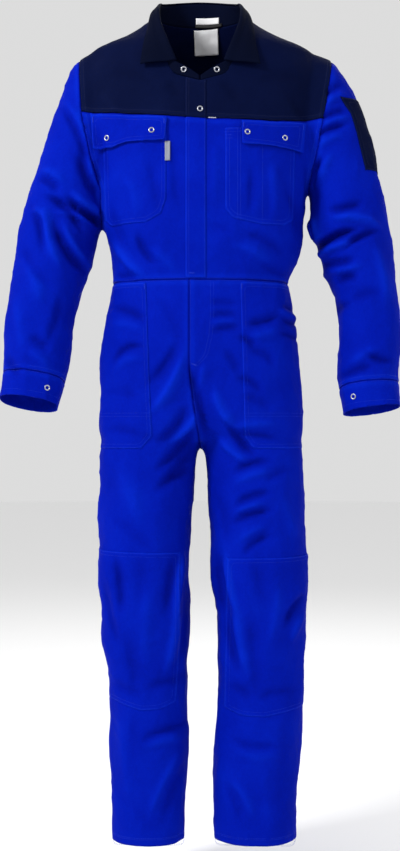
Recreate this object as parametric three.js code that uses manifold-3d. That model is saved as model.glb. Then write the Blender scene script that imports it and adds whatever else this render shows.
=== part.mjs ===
// A boiler suit, hollow and in its worn shape, in millimetres with +Z up and the front facing -Y.
// The origin lies in the middle of the neck, level with the shoulders, where the wearer holds it up.
// Left and right are those of someone who looks at the front.

import * as THREE from 'three';
import { mergeVertices } from 'three/addons/utils/BufferGeometryUtils.js';
import Module from 'manifold-3d';

const wasm = await Module();
wasm.setup();

// Cloth and seams
const clothThickness = 2;
const seamGap = 0.3;
const layerGap = 0.4;
const pocketThickness = 1.6;
const flapThickness = 1.8;
const labelThickness = 1;
const farAway = 900;
const endOverrun = 12;

// Levels and lines of the cut
const waistLevel = -499;
const frontEdge = -8;
const crotchLevel = -812;
const legSquareness = 2.3;
const cleftMiddle = 3;
const cleftWidth = 48;

// Press studs, with the profile of one as shares of its radius and height
const studRadius = 6.5;
const studHeight = 1.8;
const studProfile = [[0, 0], [1, 0], [1, 0.75], [0.65, 1], [0.5, 0.6], [0, 0.6]];
const studColumns = 8;

const blueCloth = new THREE.MeshStandardMaterial({ color: 0x0a1fa8, roughness: 0.85, metalness: 0 });
const navyCloth = new THREE.MeshStandardMaterial({ color: 0x0c1230, roughness: 0.85, metalness: 0 });
const whiteTape = new THREE.MeshStandardMaterial({ color: 0xe6e6e2, roughness: 0.8, metalness: 0 });
const greyTape = new THREE.MeshStandardMaterial({ color: 0xb4b8bd, roughness: 0.8, metalness: 0 });
const blackTape = new THREE.MeshStandardMaterial({ color: 0x101012, roughness: 0.8, metalness: 0 });
const studMetal = new THREE.MeshStandardMaterial({ color: 0xb9bcc0, roughness: 0.3, metalness: 1 });

// Sections of the body, from the crotch up: the reach to each side, to the front and to the back.
// "square" makes a section fuller towards its corners, and "cleft" draws its middle in between the
// legs.
const bodySections = [
  { z: -812, left: -184, right: 188, front: 96, back: 112, square: 2.4, cleft: 0.5 },
  { z: -790, left: -191, right: 194, front: 112, back: 128, square: 2.5, cleft: 0.3 },
  { z: -758, left: -191, right: 196, front: 118, back: 136, square: 2.5, cleft: 0.17 },
  { z: -720, left: -187, right: 194, front: 121, back: 138, square: 2.5, cleft: 0.08 },
  { z: -643, left: -188, right: 188, front: 123, back: 131, square: 2.5, cleft: 0 },
  { z: -566, left: -179, right: 181, front: 117, back: 113, square: 2.4, cleft: 0 },
  { z: -528, left: -171, right: 173, front: 113, back: 104, square: 2.3, cleft: 0 },
  { z: -494, left: -167, right: 170, front: 112, back: 100, square: 2.3, cleft: 0 },
  { z: -460, left: -168, right: 184, front: 119, back: 104, square: 2.3, cleft: 0 },
  { z: -425, left: -176, right: 194, front: 126, back: 110, square: 2.4, cleft: 0 },
  { z: -336, left: -184, right: 204, front: 131, back: 118, square: 2.6, cleft: 0 },
  { z: -290, left: -196, right: 206, front: 130, back: 121, square: 2.6, cleft: 0 },
  { z: -240, left: -208, right: 216, front: 127, back: 124, square: 2.6, cleft: 0 },
  { z: -190, left: -218, right: 224, front: 122, back: 124, square: 2.6, cleft: 0 },
  { z: -144, left: -225, right: 231, front: 114, back: 121, square: 2.5, cleft: 0 },
  { z: -106, left: -228, right: 236, front: 106, back: 116, square: 2.4, cleft: 0 },
  { z: -76, left: -216, right: 226, front: 99, back: 110, square: 2.2, cleft: 0 },
  { z: -52, left: -190, right: 196, front: 91, back: 103, square: 2.1, cleft: 0 },
  { z: -28, left: -150, right: 152, front: 81, back: 95, square: 2, cleft: 0 },
  { z: -6, left: -112, right: 112, front: 71, back: 87, square: 2, cleft: 0 },
  { z: 14, left: -88, right: 88, front: 63, back: 80, square: 2, cleft: 0 },
];

// Sections of the legs, from inside the hips down to the hems.
const leftLegSections = [
  { z: -735, out: -172, inn: 6, front: 92, back: 104, middle: 6 },
  { z: -780, out: -184, inn: 3, front: 100, back: 112, middle: 6 },
  { z: -816, out: -192, inn: -1, front: 102, back: 116, middle: 6 },
  { z: -850, out: -194, inn: -4, front: 102, back: 114, middle: 5 },
  { z: -888, out: -192, inn: -9, front: 101, back: 110, middle: 4 },
  { z: -930, out: -195, inn: -15, front: 100, back: 104, middle: 2 },
  { z: -1000, out: -193, inn: -19, front: 98, back: 95, middle: -2 },
  { z: -1072, out: -193, inn: -21, front: 97, back: 91, middle: -4 },
  { z: -1108, out: -187, inn: -18, front: 95, back: 90, middle: -4 },
  { z: -1180, out: -188, inn: -19, front: 89, back: 90, middle: 1 },
  { z: -1220, out: -179, inn: -24, front: 86, back: 90, middle: 4 },
  { z: -1265, out: -173, inn: -24, front: 83, back: 90, middle: 7 },
  { z: -1310, out: -172, inn: -26, front: 81, back: 88, middle: 8 },
  { z: -1400, out: -174, inn: -23, front: 79, back: 82, middle: 7 },
  { z: -1450, out: -171, inn: -26, front: 78, back: 79, middle: 5 },
  { z: -1556, out: -167, inn: -29, front: 77, back: 77, middle: 2 },
];

const rightLegSections = [
  { z: -735, out: 176, inn: -4, front: 92, back: 104, middle: 6 },
  { z: -780, out: 186, inn: 0, front: 100, back: 112, middle: 6 },
  { z: -816, out: 196, inn: 4, front: 102, back: 116, middle: 6 },
  { z: -850, out: 199, inn: 10, front: 102, back: 114, middle: 5 },
  { z: -888, out: 200, inn: 15, front: 101, back: 110, middle: 4 },
  { z: -930, out: 201, inn: 18, front: 100, back: 104, middle: 2 },
  { z: -1000, out: 203, inn: 20, front: 98, back: 95, middle: -2 },
  { z: -1072, out: 205, inn: 22, front: 97, back: 91, middle: -4 },
  { z: -1108, out: 204, inn: 30, front: 95, back: 90, middle: -4 },
  { z: -1180, out: 200, inn: 34, front: 89, back: 90, middle: 1 },
  { z: -1220, out: 198, inn: 33, front: 86, back: 90, middle: 4 },
  { z: -1265, out: 198, inn: 36, front: 83, back: 90, middle: 7 },
  { z: -1310, out: 197, inn: 34, front: 81, back: 88, middle: 8 },
  { z: -1400, out: 192, inn: 27, front: 79, back: 82, middle: 7 },
  { z: -1450, out: 188, inn: 24, front: 78, back: 79, middle: 5 },
  { z: -1556, out: 182, inn: 29, front: 77, back: 77, middle: 2 },
];

// Sections of the sleeves, from inside the armhole to the end of the cuff: the outer and the inner
// point of each, its half depth, and how far its middle stands to the back (+) or the front (-).
const leftSleeveSections = [
  { outX: -190, outZ: -66, innX: -160, innZ: -318, depth: 70, middle: 5 },
  { outX: -214, outZ: -66, innX: -176, innZ: -328, depth: 76, middle: 5 },
  { outX: -234, outZ: -80, innX: -187, innZ: -338, depth: 79, middle: 5 },
  { outX: -252, outZ: -106, innX: -190, innZ: -348, depth: 80, middle: 5 },
  { outX: -267, outZ: -144, innX: -192, innZ: -358, depth: 80, middle: 5 },
  { outX: -288, outZ: -202, innX: -193, innZ: -370, depth: 79, middle: 5 },
  { outX: -305, outZ: -250, innX: -194, innZ: -383, depth: 77, middle: 4 },
  { outX: -323, outZ: -300, innX: -195, innZ: -398, depth: 76, middle: 3 },
  { outX: -336, outZ: -349, innX: -197, innZ: -416, depth: 75, middle: 2 },
  { outX: -346, outZ: -400, innX: -202, innZ: -440, depth: 74, middle: 0 },
  { outX: -353, outZ: -448, innX: -210, innZ: -468, depth: 73, middle: -3 },
  { outX: -360, outZ: -490, innX: -221, innZ: -498, depth: 71, middle: -8 },
  { outX: -369, outZ: -576, innX: -240, innZ: -576, depth: 65, middle: -23 },
  { outX: -374, outZ: -676, innX: -252, innZ: -680, depth: 59, middle: -44 },
  { outX: -379, outZ: -724, innX: -264, innZ: -730, depth: 57, middle: -55 },
];

const rightSleeveSections = [
  { outX: 198, outZ: -66, innX: 178, innZ: -300, depth: 70, middle: 5 },
  { outX: 226, outZ: -64, innX: 194, innZ: -310, depth: 76, middle: 5 },
  { outX: 252, outZ: -74, innX: 207, innZ: -321, depth: 79, middle: 5 },
  { outX: 271, outZ: -94, innX: 210, innZ: -330, depth: 80, middle: 5 },
  { outX: 288, outZ: -122, innX: 210, innZ: -339, depth: 80, middle: 5 },
  { outX: 303, outZ: -154, innX: 210, innZ: -348, depth: 80, middle: 5 },
  { outX: 317, outZ: -192, innX: 210, innZ: -358, depth: 79, middle: 5 },
  { outX: 329, outZ: -234, innX: 210, innZ: -370, depth: 78, middle: 4 },
  { outX: 340, outZ: -278, innX: 211, innZ: -384, depth: 77, middle: 3 },
  { outX: 350, outZ: -321, innX: 213, innZ: -400, depth: 76, middle: 2 },
  { outX: 358, outZ: -363, innX: 219, innZ: -418, depth: 75, middle: 1 },
  { outX: 365, outZ: -404, innX: 227, innZ: -440, depth: 74, middle: 0 },
  { outX: 369, outZ: -444, innX: 236, innZ: -464, depth: 73, middle: -3 },
  { outX: 373, outZ: -488, innX: 248, innZ: -494, depth: 71, middle: -7 },
  { outX: 382, outZ: -572, innX: 264, innZ: -572, depth: 65, middle: -18 },
  { outX: 376, outZ: -694, innX: 262, innZ: -692, depth: 59, middle: -36 },
  { outX: 381, outZ: -742, innX: 270, innZ: -740, depth: 57, middle: -44 },
];

// The largest folds, as troughs (-) and ridges (+) of the cloth: where the middle is, which face it
// is on (-1 front, 1 back), the direction that it runs in (degrees up from level, to the right), its
// length, width and height.
const bodyFolds = [
  { x: -130, z: -440, face: -1, turn: -48, length: 90, width: 22, rise: 6 },
  { x: -106, z: -432, face: -1, turn: -55, length: 70, width: 20, rise: -6 },
  { x: 118, z: -440, face: -1, turn: 20, length: 90, width: 24, rise: -5 },
  { x: 90, z: -560, face: -1, turn: 12, length: 90, width: 20, rise: -4 },
  { x: 110, z: -625, face: -1, turn: -10, length: 80, width: 20, rise: -4 },
  { x: -130, z: -620, face: -1, turn: 8, length: 90, width: 22, rise: 4 },
  { x: -55, z: -690, face: -1, turn: 52, length: 120, width: 22, rise: 6 },
  { x: -25, z: -740, face: -1, turn: 48, length: 100, width: 18, rise: -7 },
  { x: 40, z: -740, face: -1, turn: -52, length: 110, width: 20, rise: 6 },
  { x: -70, z: -455, face: 1, turn: 14, length: 150, width: 24, rise: 5 },
  { x: 80, z: -470, face: 1, turn: -10, length: 150, width: 24, rise: -5 },
  { x: -60, z: -735, face: 1, turn: 42, length: 150, width: 24, rise: 6 },
  { x: 62, z: -735, face: 1, turn: -42, length: 150, width: 24, rise: 6 },
  { x: 0, z: -170, face: 1, turn: 0, length: 240, width: 26, rise: -3 },
];

const leftLegFolds = [
  { x: -50, z: -845, face: -1, turn: 40, length: 110, width: 20, rise: -6 },
  { x: -60, z: -1085, face: -1, turn: 82, length: 200, width: 20, rise: 6 },
  { x: -160, z: -1100, face: -1, turn: 80, length: 110, width: 22, rise: -6 },
  { x: -75, z: -1360, face: -1, turn: 6, length: 80, width: 18, rise: -5 },
  { x: -70, z: -1450, face: -1, turn: 68, length: 130, width: 20, rise: 6 },
  { x: -100, z: -1125, face: 1, turn: 6, length: 150, width: 24, rise: -7 },
  { x: -100, z: -1180, face: 1, turn: -8, length: 140, width: 22, rise: -6 },
  { x: -100, z: -1440, face: 1, turn: 10, length: 130, width: 22, rise: 5 },
];

const rightLegFolds = [
  { x: 95, z: -872, face: -1, turn: 14, length: 90, width: 20, rise: -5 },
  { x: 100, z: -925, face: -1, turn: 10, length: 100, width: 20, rise: -5 },
  { x: 68, z: -1110, face: -1, turn: -80, length: 210, width: 20, rise: 6 },
  { x: 182, z: -1130, face: -1, turn: -76, length: 80, width: 20, rise: -6 },
  { x: 100, z: -1375, face: -1, turn: -8, length: 90, width: 18, rise: -5 },
  { x: 80, z: -1510, face: -1, turn: -76, length: 90, width: 20, rise: 5 },
  { x: 115, z: -1125, face: 1, turn: -6, length: 150, width: 24, rise: -7 },
  { x: 115, z: -1180, face: 1, turn: 8, length: 140, width: 22, rise: -6 },
  { x: 105, z: -1440, face: 1, turn: -10, length: 130, width: 22, rise: 5 },
];

const leftSleeveFolds = [
  { x: -236, z: -290, face: -1, turn: -62, length: 90, width: 18, rise: -7 },
  { x: -222, z: -362, face: -1, turn: -28, length: 70, width: 18, rise: -8 },
  { x: -282, z: -372, face: -1, turn: 24, length: 90, width: 22, rise: 6 },
  { x: -265, z: -380, face: -1, turn: -24, length: 80, width: 16, rise: -7 },
  { x: -258, z: -450, face: -1, turn: -54, length: 100, width: 18, rise: -8 },
  { x: -290, z: -432, face: -1, turn: -76, length: 110, width: 22, rise: 7 },
  { x: -290, z: -612, face: -1, turn: 40, length: 60, width: 20, rise: -4 },
  { x: -345, z: -640, face: -1, turn: -40, length: 60, width: 20, rise: -4 },
  { x: -285, z: -430, face: 1, turn: 30, length: 120, width: 22, rise: -6 },
  { x: -300, z: -490, face: 1, turn: -14, length: 110, width: 22, rise: 6 },
  { x: -320, z: -590, face: 1, turn: 16, length: 110, width: 22, rise: -5 },
];

const rightSleeveFolds = [
  { x: 248, z: -210, face: -1, turn: 24, length: 80, width: 20, rise: -4 },
  { x: 226, z: -300, face: -1, turn: 70, length: 80, width: 18, rise: -8 },
  { x: 286, z: -375, face: -1, turn: -28, length: 100, width: 20, rise: 7 },
  { x: 260, z: -405, face: -1, turn: 22, length: 90, width: 18, rise: -9 },
  { x: 310, z: -406, face: -1, turn: 20, length: 80, width: 18, rise: -7 },
  { x: 275, z: -455, face: -1, turn: -10, length: 90, width: 20, rise: 6 },
  { x: 282, z: -495, face: -1, turn: -12, length: 80, width: 18, rise: -6 },
  { x: 345, z: -640, face: -1, turn: 16, length: 70, width: 20, rise: -5 },
  { x: 285, z: -430, face: 1, turn: -26, length: 120, width: 22, rise: -6 },
  { x: 305, z: -490, face: 1, turn: 12, length: 110, width: 22, rise: 6 },
  { x: 320, z: -600, face: 1, turn: -14, length: 110, width: 22, rise: -5 },
];

// Outlines seen from the front, as corners in x and z.
const leftSleeveOutline = [
  [-235, -30], [-229, -90], [-222, -182], [-206, -260], [-187.5, -322], [-187.5, -395], [-196, -440],
  [-222, -520], [-236, -620], [-236, -farAway], [-farAway, -farAway], [-farAway, -30],
];
const rightSleeveOutline = [
  [258, -30], [249, -90], [232, -190], [218, -260], [207.5, -312], [207.5, -385], [222, -450],
  [246, -520], [250, -620], [250, -farAway], [farAway, -farAway], [farAway, -30],
];
const yokeSeam = [
  [-farAway, -181], [-223, -181], [-175, -188], [-126, -194], [1, -204], [132, -207], [180, -203],
  [225, -194], [farAway, -194],
];
const backYokeLevel = -176;

const frontSplit = [
  [-20, waistLevel], [-20, -665], [1, crotchLevel], [1, -farAway * 3], [-farAway, -farAway * 3],
  [-farAway, waistLevel],
];
const chestFlapLeft = [
  [-204, -188], [-201, -251], [-160, -254], [-133, -247], [-64, -246], [-60, -202], [-126, -196],
];
const chestFlapRight = [
  [77, -210], [76, -252], [133, -255], [189, -261], [196, -206], [132, -209],
];
const chestPocketLeft = [
  [-182, -222], [-178, -384], [-166, -396], [-99, -394], [-72, -380], [-62, -352], [-62, -222],
];
const chestPocketRight = [
  [67, -226], [48, -372], [60, -388], [112, -398], [156, -398], [174, -386], [178, -226],
];
const hipPocketLeft = [[-206, -504], [-100, -504], [-89, -788], [-109, -812], [-206, -812]];
const hipPocketRight = [[207, -504], [74, -504], [82, -788], [99, -812], [207, -812]];
const kneePocketLeft = [
  [-farAway, -1001], [-37, -1006], [-37, -1166], [-45, -1288], [-76, -1300], [-111, -1302],
  [-159, -1288], [-farAway, -1284],
];
const kneePocketRight = [
  [farAway, -1012], [50, -1016], [49, -1102], [46, -1302], [80, -1313], [120, -1314],
  [177, -1304], [farAway, -1298],
];
const placketCut = {
  left: -27, right: 11, top: -100, bottom: waistLevel + 3, seamLeft: -202.6, seamRight: -203.6,
};
const sleevePocketOutline = [
  [262, -152], [283, -183], [293, -215], [311, -288], [farAway, -288], [farAway, -150],
];
const sleevePocketSide = [[250, -150], [farAway, -150], [farAway, -288], [250, -288]];
const sleevePocketBack = 48;
const chestTabOutline = [[-64, -247], [-55, -247], [-55, -283], [-64, -283]];

// Collar: one half from the middle of the back to the front end. Each station gives a point of the
// neck seam, of the fold and, as far as the leaf goes, of its outer edge.
const collarStations = [
  { seam: [0, 79, 14.6], fold: [0, 80, 63], edge: [0, 98, 8] },
  { seam: [34, 73, 14.6], fold: [34, 74, 61], edge: [44, 93, 6] },
  { seam: [62, 56, 14.6], fold: [62, 57, 55], edge: [82, 77, -4] },
  { seam: [82, 29, 14.6], fold: [79, 28, 46], edge: [108, 40, -6] },
  { seam: [87, -9, 13], fold: [84, -12, 33], edge: [119, -6, -3] },
  { seam: [84, -46, -8], fold: [81, -50, 12], edge: [121, -54, -20] },
  { seam: [77, -73, -37], fold: [74, -78, -20], edge: [119, -84, -52] },
  { seam: [62, -97, -84], fold: [60, -99, -58], edge: [116, -101, -80] },
  { seam: [47, -106, -117], fold: [46, -107, -95], edge: [115, -107, -101] },
  { seam: [24, -109, -125], fold: [26, -110, -106] },
  { seam: [1, -110, -131], fold: [1, -110, -123] },
];
const leafStationCount = 9;

// Lines of the leaf between its fold and its edge: the share of the way, the rise over the stand and
// the push out from it.
const leafLines = [
  { share: 0, rise: 3, push: -0.5 },
  { share: 0, rise: 3.2, push: 3.8 },
  { share: 0.15, rise: 0, push: 5 },
  { share: 0.5, rise: 0.5, push: 5 },
];

// Where the press studs sit, and the piece that carries each.
const studPlaces = [
  { name: 'stud_collar_left', x: -30, z: -112, on: 'collar_stand' },
  { name: 'stud_collar_right', x: 31, z: -112, on: 'collar_stand' },
  { name: 'stud_placket', x: 0, z: -187, on: 'placket_upper' },
  { name: 'stud_flap_left_outer', x: -173, z: -236, on: 'chest_flap_left' },
  { name: 'stud_flap_left_inner', x: -89, z: -227, on: 'chest_flap_left' },
  { name: 'stud_flap_right_inner', x: 87, z: -231, on: 'chest_flap_right' },
  { name: 'stud_flap_right_outer', x: 157, z: -238, on: 'chest_flap_right' },
  { name: 'stud_cuff_left', x: -283, z: -699, on: 'cuff_left' },
  { name: 'stud_cuff_right', x: 285, z: -715, on: 'cuff_right' },
];

// Flat pieces inside the back of the neck: their width, their top and bottom, how far each end is
// from the stand's inner face, and how far their middle bows to the front.
const insidePieces = [
  { name: 'neck_strip', left: -8, right: 37, top: 33, bottom: 22, topGap: 0.5, bottomGap: 0.5, bow: 0 },
  { name: 'hanger_loop', left: -9, right: 43, top: 21.5, bottom: 15, topGap: 0.5, bottomGap: 0.6, bow: 4 },
  { name: 'neck_label', left: -10, right: 36, top: 12, bottom: -36, topGap: 2, bottomGap: -3, bow: 0 },
];

// Small tools for the shapes

function roundedPower(value, power) {
  return Math.sign(value) * Math.abs(value) ** power;
}

function foldRise(folds, point, middleY) {
  // The height of all folds of one table at a point of the cloth.
  let rise = 0;
  for (const fold of folds) {
    const faceShare = THREE.MathUtils.smoothstep((point.y - middleY) * fold.face, -10, 30);
    if (faceShare === 0) continue;
    const angle = THREE.MathUtils.degToRad(fold.turn);
    const dx = point.x - fold.x;
    const dz = point.z - fold.z;
    const along = (dx * Math.cos(angle) + dz * Math.sin(angle)) / (fold.length / 2);
    const across = (-dx * Math.sin(angle) + dz * Math.cos(angle)) / fold.width;
    if (Math.abs(along) >= 1) continue;
    const fade = (1 - along * along) ** 2;
    rise += fold.rise * fade * Math.exp(-across * across);
  }
  return rise;
}

function gridNormals(grid) {
  // The outward direction at each point of a tube's rows, which close round the tube.
  const rowCount = grid.length;
  const columnCount = grid[0].length;
  return grid.map((row, i) => row.map((point, j) => {
    const around = row[(j + 1) % columnCount].clone().sub(row[(j + columnCount - 1) % columnCount]);
    const along = grid[Math.min(i + 1, rowCount - 1)][j].clone().sub(grid[Math.max(i - 1, 0)][j]);
    return around.cross(along).normalize();
  }));
}

function solidFromMesh(positions, triangles) {
  return new wasm.Manifold(new wasm.Mesh({
    numProp: 3,
    vertProperties: new Float32Array(positions),
    triVerts: new Uint32Array(triangles),
  }));
}

function closedTube(grid, flip) {
  // A solid from rows of points round a tube, closed by a fan at each end.
  const columnCount = grid[0].length;
  const positions = grid.flat().flatMap((point) => [point.x, point.y, point.z]);
  const triangles = [];
  const addTriangle = (a, b, c) => triangles.push(...(flip ? [a, c, b] : [a, b, c]));
  for (let i = 0; i < grid.length - 1; i += 1) {
    for (let j = 0; j < columnCount; j += 1) {
      const a = i * columnCount + j;
      const b = i * columnCount + ((j + 1) % columnCount);
      addTriangle(a, b, b + columnCount);
      addTriangle(a, b + columnCount, a + columnCount);
    }
  }
  for (const [row, turn] of [[0, 1], [grid.length - 1, 0]]) {
    const middle = grid[row].reduce((sum, point) => sum.add(point), new THREE.Vector3())
      .divideScalar(columnCount);
    const centre = positions.length / 3;
    positions.push(middle.x, middle.y, middle.z);
    for (let j = 0; j < columnCount; j += 1) {
      const a = row * columnCount + j;
      const b = row * columnCount + ((j + 1) % columnCount);
      addTriangle(...(turn ? [centre, b, a] : [centre, a, b]));
    }
  }
  return solidFromMesh(positions, triangles);
}

function grownTube(tube, growth) {
  // The tube moved out by the growth, or in where it is negative. An open end of the inner form runs
  // past the cut, and a closed end moves with the growth.
  const { grid, normals, openStart, openEnd, flip } = tube;
  const rows = grid.map((row, i) => row.map((point, j) => (
    point.clone().addScaledVector(normals[i][j], growth)
  )));
  const moveEnd = (edge, next, distance) => edge.map((point, j) => (
    point.clone().add(point.clone().sub(next[j]).setLength(distance))
  ));
  const last = rows.length - 1;
  if (!openStart) rows[0] = moveEnd(rows[0], rows[1], growth);
  if (openStart && growth < 0) rows.unshift(moveEnd(rows[0], rows[1], endOverrun));
  if (openEnd && growth < 0) rows.push(moveEnd(rows[last], rows[last - 1], endOverrun));
  return closedTube(rows, flip);
}

function bodyTube() {
  const columnCount = 26;
  const grid = bodySections.map((section) => {
    const centreX = (section.left + section.right) / 2;
    const halfWidth = (section.right - section.left) / 2;
    const power = 2 / section.square;
    return Array.from({ length: columnCount }, (_, j) => {
      const angle = (j / columnCount) * 2 * Math.PI;
      const side = roundedPower(Math.cos(angle), power);
      const depth = roundedPower(Math.sin(angle), power);
      const x = centreX + halfWidth * side;
      const cleft = 1 - section.cleft * Math.exp(-(((x - cleftMiddle) / cleftWidth) ** 2));
      const y = depth < 0 ? depth * section.front * cleft : depth * section.back * cleft;
      return new THREE.Vector3(x, y, section.z);
    });
  });
  return foldedTube(grid, bodyFolds, 0, { openStart: false, openEnd: true, flip: false });
}

function foldedTube(grid, folds, middleY, ends) {
  const plainNormals = gridNormals(grid);
  const direction = ends.flip ? -1 : 1;
  const folded = grid.map((row, i) => row.map((point, j) => (
    point.clone().addScaledVector(plainNormals[i][j], direction * foldRise(folds, point, middleY))
  )));
  const normals = gridNormals(folded).map((row) => row.map((normal) => normal.multiplyScalar(direction)));
  return { grid: folded, normals, ...ends };
}

function legTube(sections, folds, squareness) {
  const columnCount = 16;
  const grid = sections.map((section) => {
    const centreX = (section.out + section.inn) / 2;
    const halfWidth = Math.abs(section.out - section.inn) / 2;
    const power = 2 / squareness;
    return Array.from({ length: columnCount }, (_, j) => {
      const angle = (j / columnCount) * 2 * Math.PI;
      const depth = roundedPower(Math.sin(angle), power);
      const x = centreX + halfWidth * roundedPower(Math.cos(angle), power);
      const y = section.middle + depth * (depth < 0 ? section.front : section.back);
      return new THREE.Vector3(x, y, section.z);
    });
  });
  return foldedTube(grid, folds, 0, { openStart: false, openEnd: true, flip: true });
}

function sleeveTube(sections, folds, side) {
  // Each section stands square to the way that the middle of the sleeve runs.
  const columnCount = 14;
  const middles = sections.map((row) => (
    new THREE.Vector3((row.outX + row.innX) / 2, row.middle, (row.outZ + row.innZ) / 2)
  ));
  const grid = sections.map((row, i) => {
    const across = new THREE.Vector3(row.outX - row.innX, 0, row.outZ - row.innZ);
    const halfWidth = across.length() / 2;
    across.normalize();
    const next = middles[Math.min(i + 1, middles.length - 1)];
    const down = next.clone().sub(middles[Math.max(i - 1, 0)]).normalize();
    const deep = down.clone().cross(across).normalize().multiplyScalar(side);
    return Array.from({ length: columnCount }, (_, j) => {
      const angle = (j / columnCount) * 2 * Math.PI;
      return middles[i].clone()
        .addScaledVector(across, halfWidth * roundedPower(Math.cos(angle), 0.9))
        .addScaledVector(deep, row.depth * roundedPower(Math.sin(angle), 0.9));
    });
  });
  return foldedTube(grid, folds, 0, { openStart: false, openEnd: true, flip: side < 0 });
}

const tubes = [
  bodyTube(),
  legTube(leftLegSections, leftLegFolds, legSquareness),
  legTube(rightLegSections, rightLegFolds, legSquareness),
  sleeveTube(leftSleeveSections, leftSleeveFolds, 1),
  sleeveTube(rightSleeveSections, rightSleeveFolds, -1),
];

function garment(growth) {
  // The whole suit as one closed form, with its surface moved out or in by the growth.
  return tubes.map((tube) => grownTube(tube, growth)).reduce((whole, tube) => whole.add(tube));
}

function layer(inner, thickness) {
  // A skin over the whole suit, from one distance above the cloth to the next.
  return garment(inner + thickness).subtract(garment(inner));
}

function solidFromGeometry(geometry) {
  geometry.deleteAttribute('normal');
  geometry.deleteAttribute('uv');
  const merged = mergeVertices(geometry, 0.001);
  return solidFromMesh(merged.attributes.position.array, merged.index.array);
}

function movedOutline(corners, distance) {
  // The outline with each side moved out by the distance.
  const turning = corners.reduce((sum, [x, z], i) => {
    const [nextX, nextZ] = corners[(i + 1) % corners.length];
    return sum + x * nextZ - nextX * z;
  }, 0);
  const sign = Math.sign(turning);
  const sideNormal = (from, to) => {
    const length = Math.hypot(to[0] - from[0], to[1] - from[1]);
    return [(sign * (to[1] - from[1])) / length, (-sign * (to[0] - from[0])) / length];
  };
  return corners.map((corner, i) => {
    const before = sideNormal(corners[(i + corners.length - 1) % corners.length], corner);
    const after = sideNormal(corner, corners[(i + 1) % corners.length]);
    const reach = distance / (1 + before[0] * after[0] + before[1] * after[1]);
    return [corner[0] + (before[0] + after[0]) * reach, corner[1] + (before[1] + after[1]) * reach];
  });
}

function frontPrism(corners, nearest, furthest) {
  // A block with an outline given in x and z, from one depth to the other.
  const shape = new THREE.Shape(corners.map(([x, z]) => new THREE.Vector2(x, z)));
  const geometry = new THREE.ExtrudeGeometry(shape, { depth: furthest - nearest, bevelEnabled: false });
  geometry.rotateX(Math.PI / 2);
  geometry.translate(0, furthest, 0);
  return solidFromGeometry(geometry);
}

function halfSpace(point, direction) {
  // All that lies beyond a plane through the point, in the given direction.
  const size = farAway * 4;
  const geometry = new THREE.BoxGeometry(size, size, size);
  geometry.translate(0, 0, size / 2);
  geometry.applyQuaternion(new THREE.Quaternion().setFromUnitVectors(
    new THREE.Vector3(0, 0, 1),
    direction.clone().normalize(),
  ));
  geometry.translate(point.x, point.y, point.z);
  return solidFromGeometry(geometry);
}

function splitSolid(solid, point, direction) {
  // The two sides of a cut through a solid, half a seam's gap away from it each.
  const step = direction.clone().normalize().multiplyScalar(seamGap / 2);
  const beyond = solid.intersect(halfSpace(point.clone().add(step), direction));
  const before = solid.intersect(halfSpace(point.clone().sub(step), direction.clone().negate()));
  return { beyond, before };
}

function splitByOutline(solid, corners) {
  const inside = frontPrism(movedOutline(corners, -seamGap / 2), -farAway, farAway);
  const outside = frontPrism(movedOutline(corners, seamGap / 2), -farAway, farAway);
  return { inside: solid.intersect(inside), outside: solid.subtract(outside) };
}

function largestBody(solid) {
  return solid.decompose().reduce((best, body) => (body.volume() > best.volume() ? body : best));
}

function sheetSolid(rows, thickness, lift = 0) {
  // A sheet of cloth from rows of points on its outer face, with its wall on the inner side.
  const rowCount = rows.length;
  const columnCount = rows[0].length;
  const normalAt = (i, j) => {
    const around = rows[i][Math.min(j + 1, columnCount - 1)].clone().sub(rows[i][Math.max(j - 1, 0)]);
    const along = rows[Math.min(i + 1, rowCount - 1)][j].clone().sub(rows[Math.max(i - 1, 0)][j]);
    return around.cross(along).normalize();
  };
  const positions = [];
  for (const distance of [lift, lift - thickness]) {
    rows.forEach((row, i) => row.forEach((point, j) => {
      positions.push(...point.clone().addScaledVector(normalAt(i, j), distance).toArray());
    }));
  }
  const half = rowCount * columnCount;
  const triangles = [];
  for (let i = 0; i < rowCount - 1; i += 1) {
    for (let j = 0; j < columnCount - 1; j += 1) {
      const a = i * columnCount + j;
      const c = a + columnCount;
      triangles.push(a, a + 1, c + 1, a, c + 1, c);
      triangles.push(half + a, half + c + 1, half + a + 1, half + a, half + c, half + c + 1);
    }
  }
  const border = [];
  for (let j = 0; j < columnCount - 1; j += 1) border.push([j + 1, j]);
  for (let i = 0; i < rowCount - 1; i += 1) border.push([i * columnCount, (i + 1) * columnCount]);
  for (let j = 0; j < columnCount - 1; j += 1) {
    border.push([(rowCount - 1) * columnCount + j, (rowCount - 1) * columnCount + j + 1]);
  }
  for (let i = 0; i < rowCount - 1; i += 1) {
    border.push([(i + 2) * columnCount - 1, (i + 1) * columnCount - 1]);
  }
  for (const [a, b] of border) triangles.push(a, b, half + b, a, half + b, half + a);
  return solidFromMesh(positions, triangles);
}

function collarPoint(values, side) {
  return new THREE.Vector3(values[0] * side, values[1], values[2]);
}

function collarRow(key, count) {
  // One line of the collar, from its left front end round the back to its right front end.
  const half = collarStations.slice(0, count);
  const left = half.slice(1).reverse().map((station) => collarPoint(station[key], -1));
  const right = half.map((station) => collarPoint(station[key], 1));
  return [...left, ...right];
}

function movedRow(rowA, rowB, share, upRow, rise, push) {
  // A line between two lines of the collar, moved up along the stand and out from the neck.
  return rowA.map((point, j) => {
    const last = rowA.length - 1;
    const along = rowA[Math.min(j + 1, last)].clone().sub(rowA[Math.max(j - 1, 0)]).normalize();
    const up = point.clone().sub(upRow[j]);
    up.addScaledVector(along, -up.dot(along)).normalize();
    const out = up.clone().cross(along).normalize();
    return point.clone().lerp(rowB[j], share).addScaledVector(up, rise).addScaledVector(out, push);
  });
}

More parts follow.
